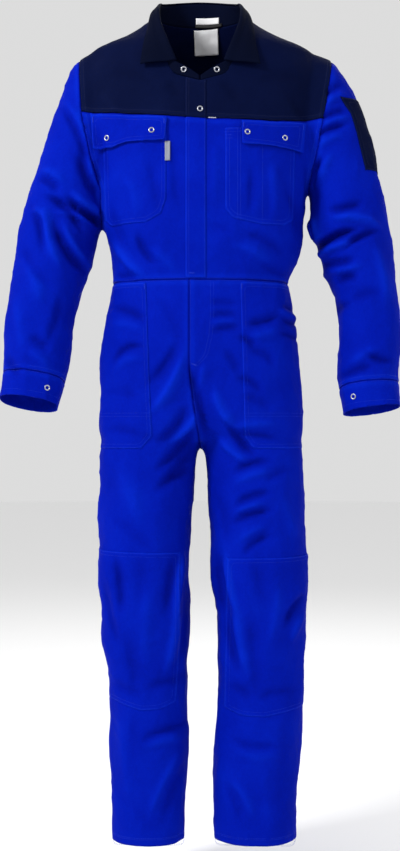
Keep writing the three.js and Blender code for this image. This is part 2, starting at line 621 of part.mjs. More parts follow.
const standSeam = collarRow('seam', collarStations.length);
const standFold = collarRow('fold', collarStations.length);
const standMiddle = standSeam.map((point, j) => point.clone().lerp(standFold[j], 0.5));
const standRows = [standSeam, standMiddle, standFold];

const leafSeam = collarRow('seam', leafStationCount);
const leafFold = collarRow('fold', leafStationCount);
const leafEdge = collarRow('edge', leafStationCount);
const leafRows = leafLines.map(({ share, rise, push }) => (
  movedRow(leafFold, leafEdge, share, leafSeam, rise, push)
));
leafRows.push(leafEdge);

// The wall of the suit, and its cut into panels

const wall = garment(0).subtract(garment(-clothThickness));
const widerWall = garment(layerGap).subtract(garment(-clothThickness - layerGap));
const frontSeam = collarRow('seam', collarStations.length).filter((point) => point.y < 0);
const seamCorners = (side) => (
  frontSeam.filter((point) => point.x * side > 0).map((point) => [point.x, point.z])
);
const neckCorners = [...seamCorners(-1), [-90, 60], [90, 60], ...seamCorners(1)];
const neckOpening = frontPrism(movedOutline(neckCorners, seamGap), -farAway, 0);

const leftCut = splitByOutline(wall.subtract(neckOpening), leftSleeveOutline);
const rightCut = splitByOutline(leftCut.outside, rightSleeveOutline);
const origin = new THREE.Vector3(0, 0, 0);
const backward = new THREE.Vector3(0, 1, 0);
const upward = new THREE.Vector3(0, 0, 1);
const sideways = new THREE.Vector3(1, 0, 0);

const waistCut = splitSolid(rightCut.outside, new THREE.Vector3(0, 0, waistLevel), upward);
const bodyCut = splitSolid(waistCut.beyond, origin, backward);
const trouserCut = splitSolid(waistCut.before, origin, backward);
const yokeZone = [...yokeSeam, [farAway, 200], [-farAway, 200]];
const frontYokeCut = splitByOutline(bodyCut.before, yokeZone);
const backYokeCut = splitSolid(bodyCut.beyond, new THREE.Vector3(0, 0, backYokeLevel), upward);
const frontEdgePoint = new THREE.Vector3(frontEdge, 0, 0);
const yokeHalves = splitSolid(frontYokeCut.inside, frontEdgePoint, sideways);
const frontHalves = splitSolid(frontYokeCut.outside, frontEdgePoint, sideways);
const trouserFronts = splitByOutline(trouserCut.before, frontSplit);
const trouserBacks = splitSolid(trouserCut.beyond, origin, sideways);

function cuffCut(sleeve, tube, row) {
  // The cuff starts at one of the sleeve's sections, square to the way that the sleeve runs.
  const middleOf = (points) => (
    points.reduce((sum, point) => sum.add(point), new THREE.Vector3()).divideScalar(points.length)
  );
  const middle = middleOf(tube.grid[row]);
  const down = middleOf(tube.grid[row + 1]).sub(middleOf(tube.grid[row - 1]));
  return splitSolid(sleeve, middle, down);
}

const [, , , leftSleeve, rightSleeve] = tubes;
const leftCuffCut = cuffCut(leftCut.inside, leftSleeve, leftSleeve.grid.length - 2);
const rightCuffCut = cuffCut(rightCut.inside, rightSleeve, rightSleeve.grid.length - 2);

// What lies on the panels

const pocketLayer = layer(layerGap, pocketThickness);
const flapLayer = layer(2 * layerGap + pocketThickness, flapThickness);

function patch(skin, corners, nearest = -farAway, furthest = -seamGap) {
  return skin.intersect(frontPrism(corners, nearest, furthest));
}

const { left, right, top, bottom, seamLeft, seamRight } = placketCut;
const placketUpperZone = [[left, top], [right, top], [right, seamRight], [left, seamLeft]];
const placketLowerZone = [
  [left, seamLeft - layerGap], [right, seamRight - layerGap], [right, bottom], [left, bottom],
];
const sleevePocketZone = frontPrism(sleevePocketOutline, -farAway, 0)
  .add(frontPrism(sleevePocketSide, -1, sleevePocketBack));

const neckRoom = frontPrism(neckCorners, -farAway, 0);
const stand = sheetSolid(standRows, clothThickness).subtract(widerWall.subtract(neckRoom));
const standRoom = sheetSolid(standRows, clothThickness + 2 * layerGap, layerGap);
const leaf = sheetSolid(leafRows, clothThickness).subtract(standRoom).subtract(garment(layerGap));

function standInside(x) {
  // How far back the stand's inner face is, at a place across the back of the neck.
  const next = collarStations.findIndex((station) => station.seam[0] > Math.abs(x));
  const [a, b] = [collarStations[next - 1].seam, collarStations[next].seam];
  return THREE.MathUtils.mapLinear(Math.abs(x), a[0], b[0], a[1], b[1]);
}

function insideSheet(piece) {
  // A flat tape behind the neck, with its middle bowed to the front.
  const bend = collarStations[1].seam[0];
  const places = [piece.left, 0, 0.35 * piece.right, 0.7 * piece.right, bend, piece.right];
  const rows = [[piece.bottom, piece.bottomGap], [piece.top, piece.topGap]].map(([z, gap]) => (
    places.map((x) => {
      const share = (x - piece.left) / (piece.right - piece.left);
      const y = standInside(x) - gap - labelThickness - piece.bow * Math.sin(share * Math.PI);
      return new THREE.Vector3(x, y, z);
    })
  ));
  return sheetSolid(rows, labelThickness);
}

// The named pieces

const suit = new THREE.Group();
const pieces = {};

function addPiece(name, solid, material) {
  const body = largestBody(solid);
  const { vertProperties, triVerts } = body.getMesh();
  const geometry = new THREE.BufferGeometry();
  geometry.setAttribute('position', new THREE.BufferAttribute(vertProperties, 3));
  geometry.setIndex(new THREE.BufferAttribute(triVerts, 1));
  geometry.computeVertexNormals();
  const mesh = new THREE.Mesh(geometry, material);
  mesh.name = name;
  pieces[name] = mesh;
  suit.add(mesh);
}

addPiece('yoke_front_left', yokeHalves.before, navyCloth);
addPiece('yoke_front_right', yokeHalves.beyond, navyCloth);
addPiece('yoke_back', backYokeCut.beyond, navyCloth);
addPiece('body_front_left', frontHalves.before, blueCloth);
addPiece('body_front_right', frontHalves.beyond, blueCloth);
addPiece('body_back', backYokeCut.before, blueCloth);
addPiece('trouser_front_left', trouserFronts.inside, blueCloth);
addPiece('trouser_front_right', trouserFronts.outside, blueCloth);
addPiece('trouser_back_left', trouserBacks.before, blueCloth);
addPiece('trouser_back_right', trouserBacks.beyond, blueCloth);
addPiece('sleeve_left', leftCuffCut.before, blueCloth);
addPiece('sleeve_right', rightCuffCut.before, blueCloth);
addPiece('cuff_left', leftCuffCut.beyond, blueCloth);
addPiece('cuff_right', rightCuffCut.beyond, blueCloth);
addPiece('collar_stand', stand, navyCloth);
addPiece('collar_leaf', leaf, navyCloth);
addPiece('placket_upper', patch(pocketLayer, placketUpperZone).subtract(neckOpening), navyCloth);
addPiece('placket', patch(pocketLayer, placketLowerZone), blueCloth);
addPiece('chest_pocket_left', patch(pocketLayer, chestPocketLeft), blueCloth);
addPiece('chest_pocket_right', patch(pocketLayer, chestPocketRight), blueCloth);
addPiece('chest_flap_left', patch(flapLayer, chestFlapLeft), blueCloth);
addPiece('chest_flap_right', patch(flapLayer, chestFlapRight), blueCloth);
addPiece('hip_pocket_left', patch(pocketLayer, hipPocketLeft), blueCloth);
addPiece('hip_pocket_right', patch(pocketLayer, hipPocketRight), blueCloth);
addPiece('knee_pocket_left', patch(pocketLayer, kneePocketLeft), blueCloth);
addPiece('knee_pocket_right', patch(pocketLayer, kneePocketRight), blueCloth);
addPiece('sleeve_pocket', pocketLayer.intersect(sleevePocketZone), navyCloth);
addPiece('chest_tab', patch(flapLayer, chestTabOutline), greyTape);
for (const piece of insidePieces) {
  addPiece(piece.name, insideSheet(piece), piece.name === 'hanger_loop' ? blackTape : whiteTape);
}

function studGeometry() {
  // A ring stud: a low dish with a raised rim.
  const profile = studProfile.map(([r, h]) => new THREE.Vector2(r * studRadius, h * studHeight));
  return new THREE.LatheGeometry(profile, studColumns);
}

const sight = new THREE.Raycaster();
for (const place of studPlaces) {
  sight.set(new THREE.Vector3(place.x, -farAway, place.z), backward);
  const [hit] = sight.intersectObject(pieces[place.on]);
  const normal = hit.face.normal;
  const stud = new THREE.Mesh(studGeometry(), studMetal);
  stud.name = place.name;
  stud.quaternion.setFromUnitVectors(new THREE.Vector3(0, 1, 0), normal);
  stud.position.copy(hit.point).addScaledVector(normal, layerGap);
  suit.add(stud);
}

export default suit;
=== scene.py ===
import math

import bmesh
import bpy
import numpy as np
from mathutils import Matrix, Vector
from mathutils.bvhtree import BVHTree


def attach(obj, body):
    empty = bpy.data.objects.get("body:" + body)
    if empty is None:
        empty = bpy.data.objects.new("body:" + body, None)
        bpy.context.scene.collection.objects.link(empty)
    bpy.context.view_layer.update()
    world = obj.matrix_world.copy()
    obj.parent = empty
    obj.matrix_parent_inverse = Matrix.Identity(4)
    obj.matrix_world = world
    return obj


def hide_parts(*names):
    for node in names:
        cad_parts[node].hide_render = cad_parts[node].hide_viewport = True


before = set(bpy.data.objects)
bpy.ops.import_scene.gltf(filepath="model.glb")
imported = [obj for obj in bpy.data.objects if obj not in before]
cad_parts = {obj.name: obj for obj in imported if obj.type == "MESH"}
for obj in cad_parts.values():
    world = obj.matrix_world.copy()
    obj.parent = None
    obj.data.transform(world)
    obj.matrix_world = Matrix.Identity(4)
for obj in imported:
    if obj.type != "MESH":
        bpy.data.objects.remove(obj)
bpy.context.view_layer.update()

# The camera looks level at the front, as in the photo, and its frame is as high as the photo's.
cameraView = {"distance": 2.8, "height": -0.769, "frameHeight": 1.634, "sensor": 24}
bpy.ops.object.camera_add(
    location=(0, -cameraView["distance"], cameraView["height"]), rotation=(math.radians(90), 0, 0))
camera = bpy.context.object
camera.data.sensor_fit = "VERTICAL"
camera.data.sensor_height = cameraView["sensor"]
camera.data.lens = cameraView["sensor"] * cameraView["distance"] / cameraView["frameHeight"]
bpy.context.scene.camera = camera
print("stage: camera")

# The body's sections in metres, from the crotch up. "square" makes a section fuller at its corners,
# and "cleft" draws its middle in between the legs.
# Columns: z, left, right, front, back, square, cleft.
bodySections = [
    (-0.798, -0.186, 0.190, 0.104, 0.120, 2.4, 0.55),
    (-0.782, -0.191, 0.195, 0.113, 0.130, 2.5, 0.34),
    (-0.758, -0.191, 0.196, 0.118, 0.136, 2.5, 0.17),
    (-0.720, -0.187, 0.194, 0.121, 0.138, 2.5, 0.08),
    (-0.643, -0.188, 0.188, 0.123, 0.131, 2.5, 0),
    (-0.566, -0.179, 0.181, 0.117, 0.113, 2.4, 0),
    (-0.528, -0.171, 0.173, 0.113, 0.104, 2.3, 0),
    (-0.494, -0.167, 0.170, 0.112, 0.100, 2.3, 0),
    (-0.460, -0.168, 0.184, 0.119, 0.104, 2.3, 0),
    (-0.425, -0.174, 0.193, 0.126, 0.110, 2.4, 0),
    (-0.375, -0.188, 0.198, 0.129, 0.114, 2.5, 0),
    (-0.336, -0.192, 0.2015, 0.131, 0.118, 2.6, 0),
    (-0.290, -0.196, 0.206, 0.130, 0.121, 2.6, 0),
    (-0.240, -0.208, 0.216, 0.127, 0.124, 2.6, 0),
    (-0.190, -0.218, 0.224, 0.122, 0.124, 2.6, 0),
    (-0.144, -0.225, 0.231, 0.114, 0.121, 2.5, 0),
    (-0.106, -0.228, 0.236, 0.106, 0.116, 2.4, 0),
    (-0.076, -0.216, 0.226, 0.099, 0.110, 2.2, 0),
    (-0.052, -0.203, 0.209, 0.091, 0.103, 2.1, 0),
    (-0.028, -0.147, 0.152, 0.081, 0.095, 2.0, 0),
    (-0.006, -0.112, 0.112, 0.071, 0.087, 2.0, 0),
    (0.014, -0.088, 0.088, 0.063, 0.080, 2.0, 0),
    (0.030, -0.072, 0.072, 0.056, 0.074, 2.0, 0),
]

# The legs' sections, from inside the hips to past the hems.
# Columns: z, outer x, inner x, front, back, middle.
leftLegSections = [
    (-0.735, -0.172, 0.006, 0.092, 0.104, 0.006),
    (-0.780, -0.184, 0.003, 0.100, 0.112, 0.006),
    (-0.816, -0.192, -0.0035, 0.102, 0.116, 0.006),
    (-0.850, -0.194, -0.0075, 0.102, 0.114, 0.005),
    (-0.888, -0.192, -0.0105, 0.101, 0.110, 0.004),
    (-0.930, -0.195, -0.015, 0.100, 0.104, 0.002),
    (-1.000, -0.193, -0.019, 0.098, 0.095, -0.002),
    (-1.072, -0.193, -0.021, 0.097, 0.091, -0.004),
    (-1.108, -0.187, -0.018, 0.095, 0.090, -0.004),
    (-1.180, -0.188, -0.019, 0.089, 0.090, 0.001),
    (-1.220, -0.179, -0.024, 0.086, 0.090, 0.004),
    (-1.265, -0.173, -0.024, 0.083, 0.090, 0.007),
    (-1.310, -0.172, -0.026, 0.081, 0.088, 0.008),
    (-1.400, -0.174, -0.023, 0.079, 0.082, 0.007),
    (-1.450, -0.171, -0.026, 0.078, 0.079, 0.005),
    (-1.556, -0.167, -0.029, 0.077, 0.077, 0.002),
    (-1.580, -0.166, -0.030, 0.077, 0.077, 0.001),
]
rightLegSections = [
    (-0.735, 0.176, -0.004, 0.092, 0.104, 0.006),
    (-0.780, 0.186, 0.000, 0.100, 0.112, 0.006),
    (-0.816, 0.196, 0.0070, 0.102, 0.116, 0.006),
    (-0.850, 0.199, 0.0120, 0.102, 0.114, 0.005),
    (-0.888, 0.200, 0.0160, 0.101, 0.110, 0.004),
    (-0.930, 0.201, 0.018, 0.100, 0.104, 0.002),
    (-1.000, 0.203, 0.020, 0.098, 0.095, -0.002),
    (-1.072, 0.205, 0.022, 0.097, 0.091, -0.004),
    (-1.108, 0.204, 0.030, 0.095, 0.090, -0.004),
    (-1.180, 0.200, 0.034, 0.089, 0.090, 0.001),
    (-1.220, 0.198, 0.033, 0.086, 0.090, 0.004),
    (-1.265, 0.198, 0.036, 0.083, 0.090, 0.007),
    (-1.310, 0.197, 0.034, 0.081, 0.088, 0.008),
    (-1.400, 0.192, 0.027, 0.079, 0.082, 0.007),
    (-1.450, 0.188, 0.024, 0.078, 0.079, 0.005),
    (-1.556, 0.182, 0.029, 0.077, 0.077, 0.002),
    (-1.580, 0.180, 0.030, 0.077, 0.077, 0.001),
]

# The sleeves' sections, from inside the armhole to past the cuff: the outer and the inner point of
# each, its half depth and its middle in depth.
leftSleeveSections = [
    (-0.190, -0.050, -0.160, -0.318, 0.070, 0.005),
    (-0.217, -0.060, -0.176, -0.328, 0.076, 0.005),
    (-0.239, -0.077, -0.187, -0.338, 0.079, 0.005),
    (-0.254, -0.105, -0.190, -0.348, 0.080, 0.005),
    (-0.267, -0.144, -0.190, -0.358, 0.080, 0.005),
    (-0.288, -0.202, -0.189, -0.370, 0.079, 0.005),
    (-0.305, -0.250, -0.189, -0.383, 0.077, 0.004),
    (-0.323, -0.300, -0.192, -0.398, 0.076, 0.003),
    (-0.336, -0.349, -0.197, -0.416, 0.075, 0.002),
    (-0.346, -0.400, -0.202, -0.440, 0.074, 0.000),
    (-0.353, -0.448, -0.210, -0.468, 0.073, -0.003),
    (-0.360, -0.490, -0.221, -0.498, 0.071, -0.008),
    (-0.369, -0.576, -0.240, -0.576, 0.065, -0.023),
    (-0.374, -0.676, -0.252, -0.680, 0.059, -0.044),
    (-0.379, -0.724, -0.264, -0.730, 0.057, -0.055),
    (-0.381, -0.744, -0.268, -0.750, 0.056, -0.060),
]
rightSleeveSections = [
    (0.198, -0.050, 0.178, -0.300, 0.070, 0.005),
    (0.230, -0.060, 0.194, -0.310, 0.076, 0.005),
    (0.257, -0.073, 0.207, -0.321, 0.079, 0.005),
    (0.271, -0.094, 0.2115, -0.330, 0.080, 0.005),
    (0.288, -0.122, 0.2125, -0.339, 0.080, 0.005),
    (0.303, -0.154, 0.2130, -0.348, 0.080, 0.005),
    (0.317, -0.192, 0.2130, -0.358, 0.079, 0.005),
    (0.329, -0.234, 0.2125, -0.370, 0.078, 0.004),
    (0.340, -0.278, 0.211, -0.384, 0.077, 0.003),
    (0.350, -0.321, 0.213, -0.400, 0.076, 0.002),
    (0.358, -0.363, 0.219, -0.418, 0.075, 0.001),
    (0.365, -0.404, 0.227, -0.440, 0.074, 0.000),
    (0.369, -0.444, 0.236, -0.464, 0.073, -0.003),
    (0.373, -0.488, 0.248, -0.494, 0.071, -0.007),
    (0.382, -0.572, 0.264, -0.572, 0.065, -0.018),
    (0.376, -0.694, 0.262, -0.692, 0.059, -0.036),
    (0.381, -0.742, 0.270, -0.740, 0.057, -0.044),
    (0.383, -0.762, 0.273, -0.760, 0.056, -0.047),
]

# Folds of the cloth: both ends in x and z, half width, height (a trough where it is below 0) and how
# far the middle of the line bows.
foldColumns = ("x0", "z0", "x1", "z1", "width", "rise", "bow")
leftSleeveFolds = [
    (-0.260, -0.173, -0.212, -0.270, 0.007, -0.0032, 0.004),
    (-0.249, -0.165, -0.202, -0.257, 0.007, 0.0025, 0.004),
    (-0.225, -0.270, -0.198, -0.332, 0.008, -0.0045, -0.003),
    (-0.210, -0.268, -0.191, -0.321, 0.006, 0.0030, -0.002),
    (-0.243, -0.349, -0.185, -0.386, 0.007, -0.0085, -0.005),
    (-0.236, -0.337, -0.187, -0.366, 0.008, 0.0050, -0.004),
    (-0.281, -0.343, -0.225, -0.397, 0.007, -0.0075, 0.006),
    (-0.262, -0.369, -0.206, -0.388, 0.007, 0.0045, 0.004),
    (-0.316, -0.362, -0.281, -0.386, 0.009, 0.0045, 0.003),
    (-0.271, -0.403, -0.225, -0.474, 0.007, -0.0065, -0.004),
    (-0.290, -0.375, -0.266, -0.463, 0.009, 0.0065, -0.005),
    (-0.255, -0.395, -0.213, -0.463, 0.007, 0.0040, -0.004),
    (-0.303, -0.302, -0.266, -0.328, 0.008, -0.0040, 0.002),
    (-0.296, -0.287, -0.258, -0.309, 0.008, 0.0030, 0.002),
    (-0.318, -0.358, -0.296, -0.433, 0.009, -0.0035, 0.005),
    (-0.326, -0.463, -0.300, -0.534, 0.012, 0.0025, 0.004),
    (-0.313, -0.605, -0.285, -0.628, 0.008, -0.0030, 0.002),
    (-0.363, -0.643, -0.337, -0.673, 0.008, -0.0035, -0.002),
    (-0.318, -0.631, -0.281, -0.658, 0.008, 0.0025, 0.002),
    (-0.262, -0.534, -0.281, -0.609, 0.009, -0.0025, 0.003),
    (-0.348, -0.534, -0.333, -0.628, 0.010, 0.0020, 0.003),
    (-0.333, -0.440, -0.281, -0.506, 0.010, -0.0025, -0.004),
]
rightSleeveFolds = [
    (0.227, -0.156, 0.268, -0.126, 0.008, -0.0032, 0.002),
    (0.228, -0.171, 0.273, -0.145, 0.007, 0.0028, 0.002),
    (0.223, -0.197, 0.273, -0.178, 0.007, -0.0040, 0.002),
    (0.227, -0.212, 0.277, -0.191, 0.007, 0.0030, 0.002),
    (0.217, -0.227, 0.270, -0.206, 0.007, -0.0055, 0.003),
    (0.221, -0.246, 0.262, -0.227, 0.008, 0.0032, 0.002),
    (0.208, -0.321, 0.225, -0.272, 0.006, -0.0065, 0.003),
    (0.228, -0.306, 0.243, -0.264, 0.008, 0.0035, 0.002),
    (0.245, -0.366, 0.300, -0.354, 0.007, -0.0045, -0.003),
    (0.255, -0.380, 0.333, -0.392, 0.008, 0.0060, 0.005),
    (0.217, -0.433, 0.288, -0.403, 0.006, -0.0095, 0.003),
    (0.275, -0.433, 0.329, -0.405, 0.006, -0.0065, 0.003),
    (0.228, -0.444, 0.285, -0.427, 0.007, 0.0050, 0.003),
    (0.236, -0.463, 0.285, -0.459, 0.007, -0.0045, -0.003),
    (0.249, -0.478, 0.300, -0.470, 0.008, 0.0035, -0.002),
    (0.260, -0.498, 0.292, -0.491, 0.007, -0.0040, 0.002),
    (0.255, -0.558, 0.277, -0.540, 0.008, -0.0035, 0.002),
    (0.285, -0.534, 0.333, -0.519, 0.009, -0.0025, 0.002),
    (0.311, -0.635, 0.358, -0.650, 0.007, -0.0040, -0.004),
    (0.266, -0.678, 0.318, -0.659, 0.007, -0.0040, 0.002),
    (0.281, -0.650, 0.329, -0.628, 0.009, 0.0030, 0.002),
    (0.329, -0.440, 0.348, -0.534, 0.011, 0.0025, 0.004),
    (0.210, -0.375, 0.228, -0.422, 0.008, 0.0040, -0.003),
]
torsoFolds = [
    (-0.160, -0.431, -0.110, -0.487, 0.008, 0.0055, -0.004),
    (-0.116, -0.420, -0.086, -0.468, 0.008, -0.0050, -0.004),
    (-0.154, -0.488, -0.121, -0.496, 0.006, -0.0050, 0.000),
    (-0.092, -0.446, -0.044, -0.487, 0.010, 0.0025, 0.004),
    (0.085, -0.417, 0.149, -0.446, 0.009, -0.0035, 0.004),
    (0.070, -0.439, 0.129, -0.468, 0.009, 0.0030, 0.004),
    (0.114, -0.468, 0.162, -0.487, 0.008, -0.0030, -0.003),
    (0.018, -0.400, 0.055, -0.413, 0.008, -0.0020, 0.000),
    (-0.166, -0.363, -0.143, -0.428, 0.009, -0.0030, -0.004),
    (0.162, -0.336, 0.184, -0.409, 0.009, -0.0030, 0.004),
    (-0.132, -0.317, -0.118, -0.376, 0.010, 0.0024, 0.003),
    (0.096, -0.299, 0.092, -0.373, 0.008, -0.0022, 0.000),
    (0.132, -0.290, 0.136, -0.380, 0.009, 0.0024, 0.002),
    (-0.092, -0.290, -0.081, -0.363, 0.010, -0.0020, 0.002),
    (-0.055, -0.244, -0.044, -0.354, 0.009, -0.0018, 0.002),
    (-0.191, -0.222, -0.177, -0.299, 0.008, -0.0025, 0.002),
    (0.029, -0.262, 0.026, -0.354, 0.010, 0.0018, 0.000),
    (-0.037, -0.161, -0.055, -0.134, 0.010, -0.0020, 0.002),
    (0.040, -0.137, 0.070, -0.170, 0.010, -0.0020, 0.002),
    (-0.166, -0.115, -0.092, -0.130, 0.012, -0.0016, 0.004),
    (0.114, -0.130, 0.184, -0.122, 0.012, -0.0016, 0.004),
    (-0.184, -0.152, -0.151, -0.192, 0.010, 0.0016, 0.000),
    (0.166, -0.156, 0.195, -0.200, 0.010, -0.0016, 0.000),
]
hipsFolds = [
    (-0.162, -0.549, -0.105, -0.571, 0.008, -0.0040, 0.004),
    (-0.159, -0.578, -0.107, -0.593, 0.009, 0.0030, 0.004),
    (-0.159, -0.645, -0.107, -0.622, 0.007, -0.0045, 0.008),
    (-0.155, -0.663, -0.111, -0.645, 0.008, 0.0030, 0.006),
    (-0.033, -0.645, -0.083, -0.735, 0.009, 0.0065, 0.005),
    (-0.044, -0.622, -0.092, -0.689, 0.009, -0.0040, 0.004),
    (-0.007, -0.751, -0.050, -0.797, 0.008, 0.0065, 0.003),
    (-0.029, -0.744, -0.074, -0.796, 0.008, -0.0050, 0.004),
    (-0.015, -0.781, -0.074, -0.845, 0.009, -0.0055, 0.003),
    (-0.018, -0.670, 0.006, -0.781, 0.008, -0.0065, 0.003),
    (0.007, -0.659, -0.004, -0.707, 0.008, 0.0035, 0.000),
    (0.026, -0.707, 0.057, -0.766, 0.009, 0.0060, -0.004),
    (0.053, -0.774, 0.096, -0.820, 0.007, -0.0065, -0.002),
    (0.041, -0.801, 0.085, -0.836, 0.008, 0.0055, -0.002),
    (0.022, -0.541, 0.066, -0.545, 0.007, -0.0028, 0.000),
    (0.024, -0.567, 0.068, -0.565, 0.007, -0.0035, 0.002),
    (0.028, -0.595, 0.070, -0.589, 0.007, -0.0035, 0.002),
    (0.026, -0.580, 0.066, -0.578, 0.006, 0.0025, 0.002),
    (0.092, -0.582, 0.142, -0.567, 0.007, -0.0045, -0.003),
    (0.076, -0.606, 0.100, -0.624, 0.007, -0.0045, 0.002),
    (0.096, -0.630, 0.136, -0.654, 0.008, -0.0035, 0.003),
    (0.096, -0.604, 0.147, -0.589, 0.008, 0.0030, -0.003),
    (0.074, -0.681, 0.114, -0.705, 0.007, -0.0040, 0.003),
    (0.085, -0.718, 0.129, -0.737, 0.009, -0.0025, 0.003),
    (0.070, -0.772, 0.140, -0.766, 0.006, 0.0030, 0.002),
    (0.074, -0.785, 0.136, -0.792, 0.007, -0.0035, 0.002),
    (0.155, -0.545, 0.181, -0.556, 0.005, -0.0040, 0.002),
    (0.155, -0.571, 0.184, -0.578, 0.005, -0.0040, -0.002),
    (0.151, -0.597, 0.184, -0.608, 0.005, -0.0035, 0.002),
    (0.147, -0.556, 0.181, -0.567, 0.005, 0.0030, 0.000),
    (-0.173, -0.707, -0.118, -0.715, 0.009, -0.0020, 0.003),
    (-0.074, -0.538, -0.037, -0.611, 0.011, -0.0020, 0.004),
    (-0.170, -0.777, -0.111, -0.788, 0.008, -0.0022, 0.003),
    (0.048, -0.633, 0.070, -0.670, 0.008, -0.0025, 0.002),
]
leftLegFolds = [
    (-0.019, -0.818, -0.074, -0.883, 0.009, -0.0050, 0.003),
    (-0.022, -0.848, -0.048, -0.866, 0.008, -0.0035, 0.002),
    (-0.148, -0.851, -0.111, -0.944, 0.016, 0.0025, 0.000),
    (-0.156, -1.022, -0.148, -1.111, 0.009, -0.0050, 0.002),
    (-0.035, -1.018, -0.046, -1.115, 0.006, 0.0065, -0.002),
    (-0.052, -1.022, -0.063, -1.111, 0.008, -0.0035, -0.002),
    (-0.045, -1.111, -0.063, -1.226, 0.009, 0.0045, 0.004),
    (-0.026, -1.092, -0.037, -1.204, 0.008, -0.0040, 0.003),
    (-0.178, -1.070, -0.156, -1.167, 0.008, -0.0035, -0.004),
    (-0.111, -1.018, -0.108, -1.092, 0.012, -0.0018, 0.000),
    (-0.137, -1.167, -0.122, -1.259, 0.011, -0.0025, 0.002),
    (-0.100, -1.074, -0.104, -1.204, 0.012, 0.0020, 0.000),
    (-0.104, -1.356, -0.030, -1.337, 0.007, -0.0045, 0.004),
    (-0.100, -1.371, -0.030, -1.359, 0.008, 0.0035, 0.004),
    (-0.043, -1.393, -0.093, -1.493, 0.008, 0.0050, -0.004),
    (-0.026, -1.408, -0.067, -1.504, 0.009, -0.0040, -0.004),
    (-0.152, -1.334, -0.137, -1.463, 0.011, 0.0022, 0.002),
    (-0.122, -1.315, -0.130, -1.426, 0.011, -0.0022, 0.000),
    (-0.159, -0.944, -0.093, -0.996, 0.012, -0.0020, 0.004),
    (-0.163, -1.259, -0.111, -1.278, 0.009, -0.0022, 0.004),
    (-0.093, -1.259, -0.030, -1.245, 0.009, -0.0025, 0.003),
    (-0.156, -1.463, -0.093, -1.519, 0.012, -0.0020, 0.003),
]
rightLegFolds = [
    (0.067, -0.853, 0.126, -0.835, 0.007, -0.0050, 0.003),
    (0.067, -0.874, 0.126, -0.855, 0.008, 0.0035, 0.003),
    (0.070, -0.914, 0.126, -0.894, 0.007, -0.0050, 0.003),
    (0.067, -0.929, 0.115, -0.914, 0.006, 0.0035, 0.002),
    (0.065, -0.948, 0.130, -0.927, 0.007, -0.0050, 0.003),
    (0.085, -1.003, 0.126, -0.974, 0.007, -0.0045, 0.003),
    (0.074, -0.981, 0.119, -0.955, 0.008, 0.0035, 0.002),
    (0.126, -0.870, 0.171, -0.851, 0.009, -0.0025, 0.003),
    (0.033, -1.018, 0.045, -1.115, 0.008, -0.0045, -0.003),
    (0.048, -1.018, 0.067, -1.111, 0.006, 0.0070, -0.002),
    (0.067, -1.115, 0.087, -1.226, 0.009, 0.0050, -0.004),
    (0.052, -1.126, 0.067, -1.219, 0.008, -0.0050, -0.003),
    (0.191, -1.089, 0.159, -1.137, 0.007, -0.0055, -0.003),
    (0.193, -1.122, 0.171, -1.167, 0.007, 0.0040, -0.002),
    (0.145, -1.074, 0.130, -1.167, 0.010, 0.0024, 0.003),
    (0.104, -1.029, 0.115, -1.092, 0.012, -0.0020, 0.000),
    (0.093, -1.130, 0.104, -1.259, 0.012, -0.0025, 0.002),
    (0.067, -1.363, 0.143, -1.371, 0.007, -0.0045, -0.004),
    (0.070, -1.382, 0.137, -1.389, 0.008, 0.0032, -0.004),
    (0.061, -1.437, 0.098, -1.497, 0.008, 0.0050, 0.004),
    (0.048, -1.448, 0.074, -1.508, 0.008, -0.0035, 0.004),
    (0.115, -1.408, 0.130, -1.519, 0.011, 0.0022, 0.000),
    (0.159, -1.334, 0.148, -1.463, 0.011, -0.0022, 0.002),
    (0.056, -1.259, 0.093, -1.278, 0.009, -0.0022, 0.003),
    (0.115, -1.278, 0.171, -1.267, 0.009, -0.0024, 0.003),
    (0.037, -0.907, 0.048, -0.981, 0.010, -0.0025, 0.002),
    (0.156, -0.907, 0.178, -0.981, 0.011, 0.0020, 0.002),
]

fineVoxel = 0.0046
voxel = fineVoxel
shellThickness = 0.0014
gridStep = 0.006
foldScale = 1.6
sleeveFoldScale = 1.25


def smoothstep(low, high, values):
    t = np.clip((values - low) / (high - low), 0, 1)
    return t * t * (3 - 2 * t)


def roundedPower(values, power):
    return np.sign(values) * np.abs(values) ** power


def smoothRows(rows, at, places):
    # A smooth curve through the rows, column by column.
    values = np.array(rows, float)
    at = np.array(at, float)
    slopes = np.gradient(values, at, axis=0)
    i = np.clip(np.searchsorted(at, places, side="right") - 1, 0, len(at) - 2)
    span = (at[i + 1] - at[i])[:, None]
    t = (places - at[i])[:, None] / span
    return (
        values[i] * (2 * t**3 - 3 * t**2 + 1)
        + slopes[i] * span * (t**3 - 2 * t**2 + t)
        + values[i + 1] * (3 * t**2 - 2 * t**3)
        + slopes[i + 1] * span * (t**3 - t**2)
    )


def softNoise(points, size, seed, count=16):
    # Smooth waves of about the given size, the same ones each run.
    random = np.random.default_rng(seed)
    total = np.zeros(len(points))
    for _ in range(count):
        direction = random.normal(size=3)
        direction *= 2 * math.pi / (np.linalg.norm(direction) * size * random.uniform(0.7, 1.5))
        total += np.sin(points @ direction + random.uniform(0, 2 * math.pi))
    return total / math.sqrt(count / 2)


bodyRound = {"columns": 120, "cleftX": 0.003, "cleftWidth": 0.048}
legRound = {"columns": 80, "power": 2 / 2.3}
sleeveRound = {"rows": 120, "columns": 72, "power": 0.9}


